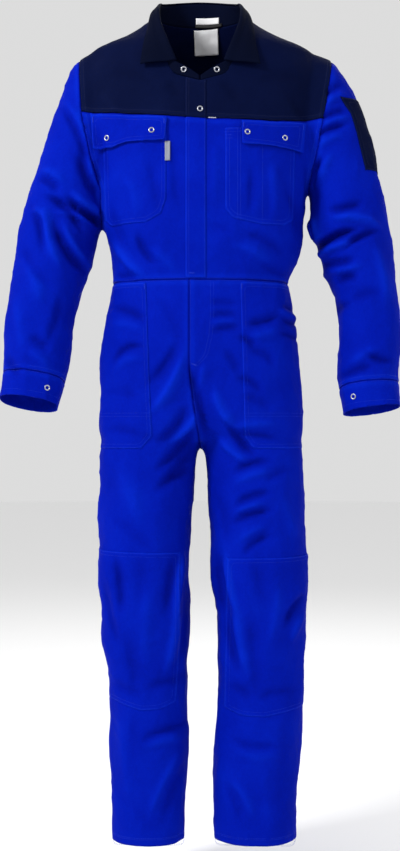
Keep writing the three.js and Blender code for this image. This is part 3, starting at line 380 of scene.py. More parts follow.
def bodyGrid():
    at = [row[0] for row in bodySections]
    places = np.arange(at[0], at[-1], gridStep)
    columns = smoothRows([row[1:] for row in bodySections], at, places).T[:, :, None]
    left, right, front, back, square, cleft = columns
    angle = np.linspace(0, 2 * math.pi, bodyRound["columns"], endpoint=False)[None, :]
    x = (left + right) / 2 + (right - left) / 2 * roundedPower(np.cos(angle), 2 / square)
    depth = roundedPower(np.sin(angle), 2 / square)
    fromCleft = (x - bodyRound["cleftX"]) / bodyRound["cleftWidth"]
    drawn = 1 - np.clip(cleft, 0, 1) * np.exp(-(fromCleft**2))
    y = depth * np.where(depth < 0, front, back) * drawn
    z = np.broadcast_to(places[:, None], x.shape)
    return np.stack([x, y, z], axis=2)


def legGrid(sections):
    at = [-row[0] for row in sections]
    places = np.arange(at[0], at[-1], gridStep)
    columns = smoothRows([row[1:] for row in sections], at, places).T[:, :, None]
    out, inn, front, back, middle = columns
    angle = np.linspace(0, 2 * math.pi, legRound["columns"], endpoint=False)[None, :]
    x = (out + inn) / 2 + np.abs(out - inn) / 2 * roundedPower(np.cos(angle), legRound["power"])
    depth = roundedPower(np.sin(angle), legRound["power"])
    y = middle + depth * np.where(depth < 0, front, back)
    z = np.broadcast_to(-places[:, None], x.shape)
    return np.stack([x, y, z], axis=2)


def sleeveFrame(sections, count):
    # The middle of a sleeve, the way that it runs, its width's direction and its half sizes.
    rows = np.array(sections)
    middles = np.stack([(rows[:, 0] + rows[:, 2]) / 2, rows[:, 5], (rows[:, 1] + rows[:, 3]) / 2], axis=1)
    step = np.linalg.norm(np.diff(middles, axis=0), axis=1)
    at = np.concatenate([[0], np.cumsum(step)])
    dense = smoothRows(rows, at, np.linspace(0, at[-1], count))
    middle = np.stack([(dense[:, 0] + dense[:, 2]) / 2, dense[:, 5], (dense[:, 1] + dense[:, 3]) / 2], axis=1)
    across = np.stack([dense[:, 0] - dense[:, 2], np.zeros(count), dense[:, 1] - dense[:, 3]], axis=1)
    half = np.linalg.norm(across, axis=1, keepdims=True) / 2
    across /= half * 2
    down = np.gradient(middle, axis=0)
    down /= np.linalg.norm(down, axis=1, keepdims=True)
    return middle, down, across, half, dense[:, 4:5]


def sleeveGrid(sections):
    middle, down, across, half, depth = sleeveFrame(sections, sleeveRound["rows"])
    deep = np.cross(down, across)
    deep /= np.linalg.norm(deep, axis=1, keepdims=True)
    angle = np.linspace(0, 2 * math.pi, sleeveRound["columns"], endpoint=False)
    wide = roundedPower(np.cos(angle), sleeveRound["power"])[None, :, None]
    thick = roundedPower(np.sin(angle), sleeveRound["power"])[None, :, None]
    return middle[:, None] + (across * half)[:, None] * wide + (deep * depth)[:, None] * thick


def addTube(name, grid):
    rows, columns = grid.shape[:2]
    i, j = np.meshgrid(np.arange(rows - 1), np.arange(columns), indexing="ij")
    a = i * columns + j
    b = i * columns + (j + 1) % columns
    faces = np.stack([a, b, b + columns, a + columns], axis=2).reshape(-1, 4).tolist()
    faces.append(list(range(columns)))
    faces.append(list(range((rows - 1) * columns, rows * columns)))
    mesh = bpy.data.meshes.new(name)
    mesh.from_pydata(grid.reshape(-1, 3).tolist(), [], faces)
    tube = bpy.data.objects.new(name, mesh)
    bpy.context.scene.collection.objects.link(tube)
    return tube


def pickOnly(obj):
    bpy.ops.object.select_all(action="DESELECT")
    obj.select_set(True)
    bpy.context.view_layer.objects.active = obj


def applyModifier(obj, kind, **values):
    pickOnly(obj)
    modifier = obj.modifiers.new(kind, kind)
    for name, value in values.items():
        setattr(modifier, name, value)
    bpy.ops.object.modifier_apply(modifier=modifier.name)


def meshPoints(mesh):
    points = np.zeros(len(mesh.vertices) * 3)
    mesh.vertices.foreach_get("co", points)
    return points.reshape(-1, 3)


def meshNormals(mesh):
    normals = np.zeros(len(mesh.vertices) * 3)
    mesh.vertices.foreach_get("normal", normals)
    return normals.reshape(-1, 3)


def setPoints(mesh, points):
    mesh.vertices.foreach_set("co", points.reshape(-1))
    mesh.update()


# The whole suit as one closed form, made from its five tubes.
tubes = [
    addTube("bodyTube", bodyGrid()),
    addTube("leftLegTube", legGrid(leftLegSections)),
    addTube("rightLegTube", legGrid(rightLegSections)),
    addTube("leftSleeveTube", sleeveGrid(leftSleeveSections)),
    addTube("rightSleeveTube", sleeveGrid(rightSleeveSections)),
]
bpy.ops.object.select_all(action="DESELECT")
for tube in tubes:
    tube.select_set(True)
bpy.context.view_layer.objects.active = tubes[0]
bpy.ops.object.join()
suitForm = bpy.context.object
suitForm.name = "suitForm"
applyModifier(suitForm, "REMESH", mode="VOXEL", voxel_size=voxel)
print("stage: one form,", len(suitForm.data.vertices), "points")

# Seam lines: how far a point is past each, in metres. A sleeve is where its armhole line is below 0.
leftArmholeRows = [
    (0.010, -0.240), (-0.030, -0.235), (-0.090, -0.229), (-0.182, -0.222), (-0.260, -0.206),
    (-0.322, -0.1885), (-0.395, -0.188), (-0.440, -0.196), (-0.520, -0.222), (-0.620, -0.236),
    (-0.900, -0.236),
]
rightArmholeRows = [
    (0.010, 0.262), (-0.030, 0.258), (-0.090, 0.249), (-0.190, 0.232), (-0.260, 0.218),
    (-0.312, 0.2085), (-0.385, 0.208), (-0.450, 0.222), (-0.520, 0.246), (-0.620, 0.250),
    (-0.900, 0.250),
]
yokeRows = [
    (-0.400, -0.181), (-0.223, -0.181), (-0.175, -0.188), (-0.126, -0.194), (0.001, -0.204),
    (0.132, -0.207), (0.180, -0.203), (0.225, -0.194), (0.400, -0.194),
]
flyRows = [(-0.490, -0.020), (-0.665, -0.020), (-0.740, -0.010), (-0.812, 0.001), (-1.700, 0.001)]
# The neck seam seen from the front, from the middle to the side.
neckRows = [(0.001, -0.131), (0.024, -0.125), (0.047, -0.117), (0.062, -0.084), (0.077, -0.037),
            (0.084, -0.008), (0.087, 0.013)]
waistLevel = -0.499
backYokeLevel = -0.176
neckLevel = 0.0146
hemLevel = -1.556


def lineAt(rows, values):
    rows = np.array(rows)
    rows = rows[np.argsort(rows[:, 0])]
    return np.interp(values, rows[:, 0], rows[:, 1])


def pastLeftArmhole(p):
    return p[:, 0] - lineAt(leftArmholeRows, p[:, 2])


def pastRightArmhole(p):
    return lineAt(rightArmholeRows, p[:, 2]) - p[:, 0]


def pastYoke(p):
    front = lineAt(yokeRows, p[:, 0])
    back = smoothstep(-0.03, 0.03, p[:, 1])
    return p[:, 2] - (front * (1 - back) + backYokeLevel * back)


def pastWaist(p):
    return p[:, 2] - waistLevel


def pastSide(p):
    return p[:, 1]


def pastFront(p):
    return p[:, 0] + 0.008


def pastFly(p):
    return p[:, 0] - lineAt(flyRows, p[:, 2])


def pastBack(p):
    return p[:, 0]


def pastOutline(corners):
    # The distance from an outline seen from the front, below 0 inside it.
    corners = np.array(corners)
    nextCorners = np.roll(corners, -1, axis=0)

    def height(p):
        q = p[:, [0, 2]]
        nearest = np.full(len(q), 9.0)
        inside = np.zeros(len(q), bool)
        for a, b in zip(corners, nextCorners):
            side = b - a
            share = np.clip((q - a) @ side / (side @ side), 0, 1)
            nearest = np.minimum(nearest, np.linalg.norm(q - a - share[:, None] * side, axis=1))
            crosses = (a[1] > q[:, 1]) != (b[1] > q[:, 1])
            rise = b[1] - a[1] if b[1] != a[1] else 1e-9
            inside ^= crosses & (q[:, 0] < a[0] + (q[:, 1] - a[1]) * side[0] / rise)
        return np.where(inside, -nearest, nearest)

    return height


def sleeveEnd(sections, row):
    # The plane across a sleeve at one of its sections.
    middle, down, across, half, depth = sleeveFrame(sections, 240)
    target = np.array([(sections[row][0] + sections[row][2]) / 2, (sections[row][1] + sections[row][3]) / 2])
    i = np.argmin(np.linalg.norm(middle[:, [0, 2]] - target, axis=1))
    return lambda p: (p - middle[i]) @ down[i]


pastLeftCuff = sleeveEnd(leftSleeveSections, -3)
pastRightCuff = sleeveEnd(rightSleeveSections, -3)
pastLeftEnd = sleeveEnd(leftSleeveSections, -2)
pastRightEnd = sleeveEnd(rightSleeveSections, -2)


def pastNeck(p):
    # The hole of the neck: over the seam, and inside its line in front.
    front = lineAt(neckRows, np.abs(p[:, 0]))
    seamZ = np.where(p[:, 1] < 0, front, neckLevel)
    return np.where(np.abs(p[:, 0]) < 0.1, p[:, 2] - seamZ, p[:, 2] - neckLevel)


# The joins between the tubes are eased, as cloth runs over them.
easing = {"crotchX": 0.002, "crotchZ": -0.80, "wide": 0.05, "high": 0.06, "seat": 0.8, "armhole": 0.03}
points = meshPoints(suitForm.data)
fromCrotchX = points[:, 0] - easing["crotchX"]
fromCrotchZ = points[:, 2] - easing["crotchZ"]
crotch = np.exp(-((fromCrotchX / easing["wide"]) ** 2) - (fromCrotchZ / easing["high"]) ** 2)
seat = np.exp(-((fromCrotchZ / easing["wide"]) ** 2)) * easing["seat"]
fromArmhole = np.minimum(abs(pastLeftArmhole(points)), abs(pastRightArmhole(points)))
armholes = np.exp(-((fromArmhole / easing["armhole"]) ** 2)) * smoothstep(-0.44, -0.38, points[:, 2])
joins = suitForm.vertex_groups.new(name="joins")
for index, weight in enumerate(np.clip(np.maximum(np.maximum(crotch, armholes), seat), 0.0, 1.0)):
    joins.add([index], float(weight), "REPLACE")
rounds = int(14 * (fineVoxel / voxel) ** 2) + 2
applyModifier(suitForm, "SMOOTH", factor=0.5, iterations=rounds, vertex_group="joins")
applyModifier(suitForm, "SMOOTH", factor=0.5, iterations=3)
suitForm.vertex_groups.clear()
print("stage: joins eased")


# How a fold narrows to its ends, how much steeper its upper side is, and where folds fade out.
foldShape = {"ends": 0.7, "middle": 0.3, "upper": 0.85, "lower": 1.2}
frontNormals = (0.25, -0.2)
armholeFade = 0.004
lowLegs = {"top": -1.32, "full": -1.38, "less": 0.4}


def foldHeight(points, rows):
    # Each fold is a soft trough or ridge, steeper on its upper side, that fades at its ends.
    total = np.zeros(len(points))
    for row in rows:
        fold = dict(zip(foldColumns, row))
        side = np.array([fold["x1"] - fold["x0"], fold["z1"] - fold["z0"]])
        length = np.linalg.norm(side)
        q = points[:, [0, 2]] - (fold["x0"], fold["z0"])
        along = q @ side / length**2
        across = (q[:, 1] * side[0] - q[:, 0] * side[1]) / length
        across -= fold["bow"] * 4 * along * (1 - along)
        fade = smoothstep(-0.25, 0.3, along) * smoothstep(1.25, 0.7, along)
        t = across / (fold["width"] * (foldShape["ends"] + foldShape["middle"] * fade))
        t *= np.where(across > 0, foldShape["upper"], foldShape["lower"])
        total += fold["rise"] * fade * np.exp(-t * t)
    return total


def foldTotal(points, normals, scale=1.0):
    # The height of all folds at points of the suit, each on its own side and part.
    front = smoothstep(*frontNormals, normals[:, 1])
    left = smoothstep(armholeFade, -armholeFade, pastLeftArmhole(points))
    right = smoothstep(armholeFade, -armholeFade, pastRightArmhole(points))
    low = smoothstep(lowLegs["top"], lowLegs["full"], points[:, 2])
    trunk = (1 - np.maximum(left, right)) * (1 - lowLegs["less"] * low)
    height = sleeveFoldScale * front * left * foldHeight(points, leftSleeveFolds)
    height += sleeveFoldScale * front * right * foldHeight(points, rightSleeveFolds)
    height += front * trunk * foldHeight(points, torsoFolds + hipsFolds + leftLegFolds + rightLegFolds)
    return (height + (1 - front) * foldHeight(points, backFolds)) * scale


# Small waves everywhere, and creases where waves change sign: height, stretch, size, seed, sharpness.
waveColumns = ("height", "stretch", "size", "seed", "sharp")
smallWaves = [
    (0.0011, (1.0, 1.0, 0.75), 0.075, 3, None),
    (0.0012, (1.2, 1.0, 0.8), 0.055, 8, 1.2),
    (0.0009, (1.2, 1.0, 0.9), 0.036, 12, 1.3),
]


def foldedPoints(mesh):
    # The waves are smaller on the yoke, where the cloth is double.
    points = meshPoints(mesh)
    normals = meshNormals(mesh)
    height = foldTotal(points, normals, foldScale)
    trunk = (pastLeftArmhole(points) > 0) & (pastRightArmhole(points) > 0)
    plain = 1 - 0.6 * smoothstep(-0.005, 0.01, pastYoke(points)) * trunk
    for row in smallWaves:
        wave = dict(zip(waveColumns, row))
        form = softNoise(points * wave["stretch"], wave["size"], wave["seed"])
        if wave["sharp"]:
            form = 0.5 - np.abs(np.tanh(wave["sharp"] * form))
        height += wave["height"] * plain * form
    return points + normals * height[:, None]


# Folds on the hidden side, like those in front.
backFolds = [
    (-0.190, -0.350, -0.070, -0.440, 0.012, 0.0055, 0.010),
    (-0.200, -0.380, -0.090, -0.460, 0.010, -0.0050, 0.008),
    (0.190, -0.340, 0.080, -0.430, 0.012, 0.0050, -0.010),
    (0.200, -0.375, 0.095, -0.455, 0.010, -0.0050, -0.008),
    (-0.130, -0.462, 0.020, -0.450, 0.010, 0.0045, 0.006),
    (0.010, -0.470, 0.150, -0.480, 0.010, -0.0045, 0.005),
    (-0.120, -0.230, 0.110, -0.225, 0.014, -0.0030, 0.004),
    (-0.150, -0.640, -0.030, -0.760, 0.013, 0.0055, -0.012),
    (-0.120, -0.620, -0.015, -0.730, 0.011, -0.0045, -0.010),
    (0.155, -0.640, 0.035, -0.760, 0.013, 0.0055, 0.012),
    (0.125, -0.625, 0.020, -0.730, 0.011, -0.0045, 0.010),
    (-0.160, -0.830, -0.040, -0.870, 0.011, -0.0050, 0.008),
    (0.165, -0.835, 0.045, -0.880, 0.011, -0.0050, -0.008),
    (-0.160, -0.900, -0.060, -0.935, 0.012, 0.0045, 0.006),
    (0.165, -0.905, 0.060, -0.950, 0.012, 0.0045, -0.006),
    (-0.175, -1.118, -0.040, -1.128, 0.010, -0.0070, -0.008),
    (-0.170, -1.150, -0.050, -1.140, 0.010, 0.0050, -0.006),
    (-0.170, -1.172, -0.045, -1.190, 0.010, -0.0060, 0.006),
    (0.185, -1.115, 0.050, -1.130, 0.010, -0.0070, 0.008),
    (0.185, -1.150, 0.060, -1.142, 0.010, 0.0050, 0.006),
    (0.180, -1.176, 0.055, -1.190, 0.010, -0.0060, -0.006),
    (-0.150, -1.400, -0.050, -1.440, 0.012, 0.0045, 0.008),
    (-0.150, -1.470, -0.060, -1.450, 0.012, -0.0040, -0.006),
    (0.165, -1.405, 0.060, -1.450, 0.012, 0.0045, -0.008),
    (0.160, -1.475, 0.070, -1.455, 0.012, -0.0040, 0.006),
    (-0.330, -0.395, -0.225, -0.445, 0.011, -0.0065, 0.006),
    (-0.340, -0.440, -0.235, -0.480, 0.011, 0.0055, 0.006),
    (-0.350, -0.490, -0.250, -0.520, 0.010, -0.0055, 0.005),
    (-0.355, -0.580, -0.270, -0.600, 0.011, -0.0045, 0.006),
    (-0.300, -0.250, -0.220, -0.300, 0.011, -0.0045, -0.005),
    (0.335, -0.395, 0.235, -0.445, 0.011, -0.0065, -0.006),
    (0.345, -0.440, 0.245, -0.480, 0.011, 0.0055, -0.006),
    (0.355, -0.490, 0.260, -0.520, 0.010, -0.0055, -0.005),
    (0.360, -0.590, 0.280, -0.610, 0.011, -0.0045, -0.006),
    (0.315, -0.250, 0.235, -0.300, 0.011, -0.0045, 0.005),
]

suitForm.data.polygons.foreach_set("use_smooth", [True] * len(suitForm.data.polygons))
setPoints(suitForm.data, foldedPoints(suitForm.data))
applyModifier(suitForm, "SMOOTH", factor=0.4, iterations=1)
print("stage: folds")


# The cut of the form into panels.
def cutAlong(bm, height, levels=(0,), near=0.02):
    # New edges where the height passes each level. Points keep their places in the layer meanwhile.
    place = bm.verts.layers.float_vector["place"]
    for level in levels:
        verts = list(bm.verts)
        points = np.array([v.co for v in verts])
        heights = height(points)
        close = np.abs(heights - level) < near
        for i in np.nonzero(close)[0]:
            verts[i].co.z = heights[i] - level
        faces = {f for i in np.nonzero(close)[0] for f in verts[i].link_faces}
        faces = [f for f in faces if all(abs(v.co.z) <= near and close[v.index] for v in f.verts)]
        edges = {e for f in faces for e in f.edges}
        corners = {v for f in faces for v in f.verts}
        geometry = list(corners) + list(edges) + faces
        bmesh.ops.bisect_plane(bm, geom=geometry, dist=0.0005, plane_co=(0, 0, 0), plane_no=(0, 0, 1))
        for v in bm.verts:
            v.co = v[place]
        bm.verts.index_update()


def readyToCut(mesh):
    # A copy of the mesh to cut, with each point's place kept in a layer.
    bm = bmesh.new()
    bm.from_mesh(mesh)
    place = bm.verts.layers.float_vector.new("place")
    for v in bm.verts:
        v[place] = v.co
    bm.verts.index_update()
    return bm


def facesPoints(bm):
    return np.array([f.calc_center_median() for f in bm.faces])


def onTrunk(p):
    return (pastLeftArmhole(p) > -0.001) & (pastRightArmhole(p) > -0.001)


def onTop(p):
    return onTrunk(p) & (p[:, 2] > waistLevel)


def onTrousers(p):
    return onTrunk(p) & (p[:, 2] < waistLevel)


def onLeftSleeve(p):
    return pastLeftArmhole(p) < 0


def onRightSleeve(p):
    return pastRightArmhole(p) < 0


def anywhere(p):
    return np.ones(len(p), bool)


seamEdge = 0.0035
seamWidth = 0.0013

# Each seam line, where it runs, and how deep it is drawn in. A depth of 0 only cuts.
seams = [
    (pastLeftArmhole, anywhere, 0.0014),
    (pastRightArmhole, anywhere, 0.0014),
    (pastYoke, onTop, 0.0013),
    (pastWaist, onTrunk, 0.0014),
    (pastSide, onTrunk, 0.0012),
    (pastFront, onTop, 0),
    (pastFly, lambda p: onTrousers(p) & (p[:, 1] < 0), 0.0016),
    (pastBack, lambda p: onTrousers(p) & (p[:, 1] > 0), 0.0012),
    (pastLeftCuff, onLeftSleeve, 0.0013),
    (pastRightCuff, onRightSleeve, 0.0013),
    (pastLeftEnd, onLeftSleeve, 0),
    (pastRightEnd, onRightSleeve, 0),
    (pastNeck, onTop, 0),
    (lambda p: p[:, 2] - hemLevel, onTrousers, 0),
]
plainPoints = meshPoints(suitForm.data)
plainFaces = [tuple(polygon.vertices) for polygon in suitForm.data.polygons]
bm = readyToCut(suitForm.data)
for height, zone, depth in seams:
    cutAlong(bm, height, (-seamEdge, 0, seamEdge) if depth else (0,))
bm.to_mesh(suitForm.data)
bm.free()
print("stage: seams cut,", len(suitForm.data.polygons), "faces")

# Each panel: the CAD piece that it stands for, its cloth and its flat cut in metres.
panelColumns = ("name", "node", "cloth", "flat", "area")
panels = [
    ("yokeFrontLeft", "yoke_front_left", "navy", (0.26, 0.24), 0.040),
    ("yokeFrontRight", "yoke_front_right", "navy", (0.28, 0.25), 0.047),
    ("yokeBack", "yoke_back", "navy", (0.56, 0.24), 0.101),
    ("bodyFrontLeft", "body_front_left", "blue", (0.26, 0.33), 0.070),
    ("bodyFrontRight", "body_front_right", "blue", (0.27, 0.33), 0.081),
    ("bodyBack", "body_back", "blue", (0.50, 0.33), 0.156),
    ("trouserFrontLeft", "trouser_front_left", "blue", (0.32, 1.08), 0.282),
    ("trouserFrontRight", "trouser_front_right", "blue", (0.33, 1.08), 0.301),
    ("trouserBackLeft", "trouser_back_left", "blue", (0.36, 1.12), 0.298),
    ("trouserBackRight", "trouser_back_right", "blue", (0.36, 1.12), 0.306),
    ("sleeveLeft", "sleeve_left", "blue", (0.52, 0.66), 0.224),
    ("sleeveRight", "sleeve_right", "blue", (0.52, 0.66), 0.235),
    ("cuffLeft", "cuff_left", "blue", (0.29, 0.07), 0.0201),
    ("cuffRight", "cuff_right", "blue", (0.29, 0.065), 0.0184),
]


def panelOf(p):
    # The panel that each point of the form is in, or -1 where the form is open.
    left = pastLeftArmhole(p) < 0
    right = pastRightArmhole(p) < 0
    front = p[:, 1] < 0
    yoke = pastYoke(p) > 0
    low = pastWaist(p) < 0
    firstHalf = pastFront(p) < 0
    firstLeg = np.where(front, pastFly(p) < 0, pastBack(p) < 0)
    found = np.where(front, np.where(firstHalf, 3, 4), 5)
    found = np.where(yoke, np.where(front, np.where(firstHalf, 0, 1), 2), found)
    found = np.where(low, np.where(front, 6, 8) + np.where(firstLeg, 0, 1), found)
    found = np.where((pastNeck(p) > 0) | (p[:, 2] < hemLevel), -1, found)
    cuffLeft = pastLeftCuff(p) > 0
    cuffRight = pastRightCuff(p) > 0
    found = np.where(left, np.where(pastLeftEnd(p) > 0, -1, np.where(cuffLeft, 12, 10)), found)
    return np.where(right, np.where(pastRightEnd(p) > 0, -1, np.where(cuffRight, 13, 11)), found)


def addPart(name, points, faces):
    # A mesh of some faces of a larger one.
    used = np.unique(np.concatenate([np.array(f) for f in faces]))
    place = np.zeros(len(points), int)
    place[used] = np.arange(len(used))
    mesh = bpy.data.meshes.new(name)
    mesh.from_pydata(points[used].tolist(), [], [place[list(f)].tolist() for f in faces])
    part = bpy.data.objects.new(name, mesh)
    bpy.context.scene.collection.objects.link(part)
    mesh.polygons.foreach_set("use_smooth", [True] * len(mesh.polygons))
    mesh.update()
    return part


def seamPoints(mesh):
    # Seams are drawn in a little.
    points = meshPoints(mesh)
    normals = meshNormals(mesh)
    depth = np.zeros(len(points))
    for height, zone, deepest in seams:
        if deepest:
            drawn = deepest * np.exp(-((height(points) / seamWidth) ** 2))
            depth = np.maximum(depth, np.where(zone(points), drawn, 0))
    return points - normals * depth[:, None]


setPoints(suitForm.data, seamPoints(suitForm.data))
formPoints = meshPoints(suitForm.data)
formNormals = meshNormals(suitForm.data)
formFaces = [tuple(polygon.vertices) for polygon in suitForm.data.polygons]
centres = np.zeros(len(formFaces) * 3)
suitForm.data.polygons.foreach_get("center", centres)
facePanel = panelOf(centres.reshape(-1, 3))
shells = {}
for index, row in enumerate(panels):
    panel = dict(zip(panelColumns, row))
    faces = [formFaces[i] for i in np.nonzero(facePanel == index)[0]]
    shell = addPart(panel["name"], formPoints, faces)
    shells[panel["name"]] = shell
    applyModifier(shell, "SOLIDIFY", thickness=shellThickness, offset=-1, use_even_offset=True)
    shell["clothName"] = panel["cloth"]
    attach(shell, "root")
    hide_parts(panel["node"])
print("stage: panels")


def addSheet(name, grid, thickness, offset=-1):
    # A sheet of cloth from rows of points, with its wall on the inner side.
    rows, columns = grid.shape[:2]
    i, j = np.meshgrid(np.arange(rows - 1), np.arange(columns - 1), indexing="ij")
    a = i * columns + j
    faces = np.stack([a, a + 1, a + columns + 1, a + columns], axis=2).reshape(-1, 4).tolist()
    mesh = bpy.data.meshes.new(name)
    mesh.from_pydata(grid.reshape(-1, 3).tolist(), [], faces)
    sheet = bpy.data.objects.new(name, mesh)
    bpy.context.scene.collection.objects.link(sheet)
    mesh.polygons.foreach_set("use_smooth", [True] * len(mesh.polygons))
    mesh.update()
    applyModifier(sheet, "SOLIDIFY", thickness=thickness, offset=offset, use_even_offset=True)
    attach(sheet, "root")
    return sheet


# The collar: for one half, from the middle of the back to the front end, points of the neck seam, of
# the fold and of the leaf's outer edge.
collarColumns = ("seam", "fold", "edge")
collarStations = [
    ((0, 0.079, 0.0146), (0, 0.080, 0.063), (0, 0.098, 0.008)),
    ((0.034, 0.073, 0.0146), (0.032, 0.074, 0.060), (0.042, 0.093, 0.006)),
    ((0.062, 0.056, 0.0146), (0.056, 0.057, 0.053), (0.074, 0.077, 0.001)),
    ((0.082, 0.029, 0.0146), (0.070, 0.029, 0.044), (0.090, 0.041, 0.006)),
    ((0.087, -0.009, 0.013), (0.0755, -0.012, 0.033), (0.0935, -0.006, 0.013)),
    ((0.084, -0.046, -0.008), (0.077, -0.050, 0.012), (0.0985, -0.056, -0.0135)),
    ((0.077, -0.073, -0.037), (0.073, -0.078, -0.020), (0.103, -0.087, -0.050)),
    ((0.062, -0.097, -0.084), (0.060, -0.099, -0.058), (0.108, -0.101, -0.079)),
    ((0.047, -0.106, -0.117), (0.046, -0.107, -0.095), (0.111, -0.107, -0.100)),
    ((0.024, -0.109, -0.125), (0.026, -0.110, -0.106), None),
    ((0.001, -0.110, -0.131), (0.001, -0.110, -0.123), None),
]


def collarLine(key, count, columns):
    # One line of the collar, from its left end round the back to its right end.
    half = [dict(zip(collarColumns, row))[key] for row in collarStations[:count]]
    points = [(-x, y, z) for x, y, z in reversed(half[1:])] + half
    at = np.concatenate([[0], np.cumsum(np.linalg.norm(np.diff(points, axis=0), axis=1))])
    return smoothRows(points, at, np.linspace(0, at[-1], columns))


def collarWays(seam, fold):
    # Up along the stand and out from the neck, at each point.
    along = np.gradient(fold, axis=0)
    along /= np.linalg.norm(along, axis=1, keepdims=True)
    up = fold - seam
    up -= along * (up * along).sum(axis=1, keepdims=True)
    up /= np.linalg.norm(up, axis=1, keepdims=True)
    return up, np.cross(up, along)


# The stand reaches to the front edges, through all the stations, and the leaf through the first nine.
standSizes = {"stations": 11, "columns": 180, "rows": 10, "thickness": 0.0020}
leafSizes = {"stations": 9, "columns": 200, "rows": 26, "thickness": 0.0022, "ripple": 0.0012}
seam = collarLine("seam", standSizes["stations"], standSizes["columns"])
fold = collarLine("fold", standSizes["stations"], standSizes["columns"])
shares = np.linspace(0, 1, standSizes["rows"])
standRows = np.stack([seam + (fold - seam) * share for share in shares])
collarStand = addSheet("collarStand", standRows, standSizes["thickness"])
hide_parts("collar_stand")

seam = collarLine("seam", leafSizes["stations"], leafSizes["columns"])
fold = collarLine("fold", leafSizes["stations"], leafSizes["columns"])
edge = collarLine("edge", leafSizes["stations"], leafSizes["columns"])
up, out = collarWays(seam, fold)
# The leaf's lines: the share of the way from fold to edge, the rise and the push outwards.
leafLines = [
    (0.00, 0.0028, -0.0006),
    (0.00, 0.0040, 0.0020),
    (0.03, 0.0025, 0.0042),
    (0.15, 0.0000, 0.0052),
    (0.50, 0.0005, 0.0056),
    (0.85, 0.0002, 0.0030),
    (1.00, 0.0000, 0.0006),
]
at = [0, 0.05, 0.10, 0.20, 0.52, 0.86, 1.0]
rows = []
for share, rise, push in smoothRows(leafLines, at, np.linspace(0, 1, leafSizes["rows"])):
    rows.append(fold + (edge - fold) * share + up * rise + out * push)
leafRows = np.stack(rows)
ripple = softNoise(leafRows.reshape(-1, 3), 0.09, 21).reshape(leafRows.shape[:2])
ripple *= np.linspace(0, leafSizes["ripple"], leafSizes["rows"])[:, None]
leafRows += out[None] * ripple[..., None]
collarLeaf = addSheet("collarLeaf", leafRows, leafSizes["thickness"])
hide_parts("collar_leaf")
# The collar pieces take the navy twill painted darker, as painted shade.
for piece in (collarStand, collarLeaf):
    piece["clothName"] = "shadedCollar"
    shells[piece.name] = piece
print("stage: collar")


# The edges of a patch drop a little, and a flap's lower edge stands off, over the spans given.
patchSizes = {
    "thickness": 0.0011, "reach": 0.014, "innerCut": 0.003,
    "edgeDrop": 0.0008, "edgeSpan": (-0.0016, -0.0002), "puffSpan": (-0.002, -0.030),
    "flapStand": 0.003, "flapSpan": (-0.222, -0.250),
}


def addPatch(name, height, lift, cloth, puff, limit):
    # A piece of cloth sewn on the suit: the form's own surface inside an outline, moved out. The
    # limit is how far back it may reach, and the puff is how much more its middle stands out.
    inside = (height(plainPoints) < patchSizes["reach"]) & (plainPoints[:, 1] < limit)
    faces = [f for f in plainFaces if inside[f[0]] and inside[f[1]] and inside[f[2]] and inside[f[-1]]]
    patch = addPart(name, plainPoints, faces)
    bm = readyToCut(patch.data)
    cutAlong(bm, height, (-patchSizes["innerCut"], 0))
    outside = height(facesPoints(bm)) > 0
    bmesh.ops.delete(bm, geom=[f for f, gone in zip(list(bm.faces), outside) if gone], context="FACES")
    bm.to_mesh(patch.data)
    bm.free()
    points = meshPoints(patch.data)
    normals = meshNormals(patch.data)
    past = height(points)
    raised = lift - patchSizes["edgeDrop"] * smoothstep(*patchSizes["edgeSpan"], past)
    raised = raised + puff * smoothstep(*patchSizes["puffSpan"], past)
    if name.startswith("chestFlap"):
        raised = raised + patchSizes["flapStand"] * smoothstep(*patchSizes["flapSpan"], points[:, 2])
    setPoints(patch.data, points + normals * raised[:, None])
    patchFaces = [tuple(polygon.vertices) for polygon in patch.data.polygons]
    skins[name] = (meshPoints(patch.data), patchFaces, meshNormals(patch.data))
    applyModifier(patch, "SOLIDIFY", thickness=patchSizes["thickness"], offset=-1, use_even_offset=True)
    patch["clothName"] = cloth
    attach(patch, "root")
    shells[name] = patch
    return patch


skins = {}

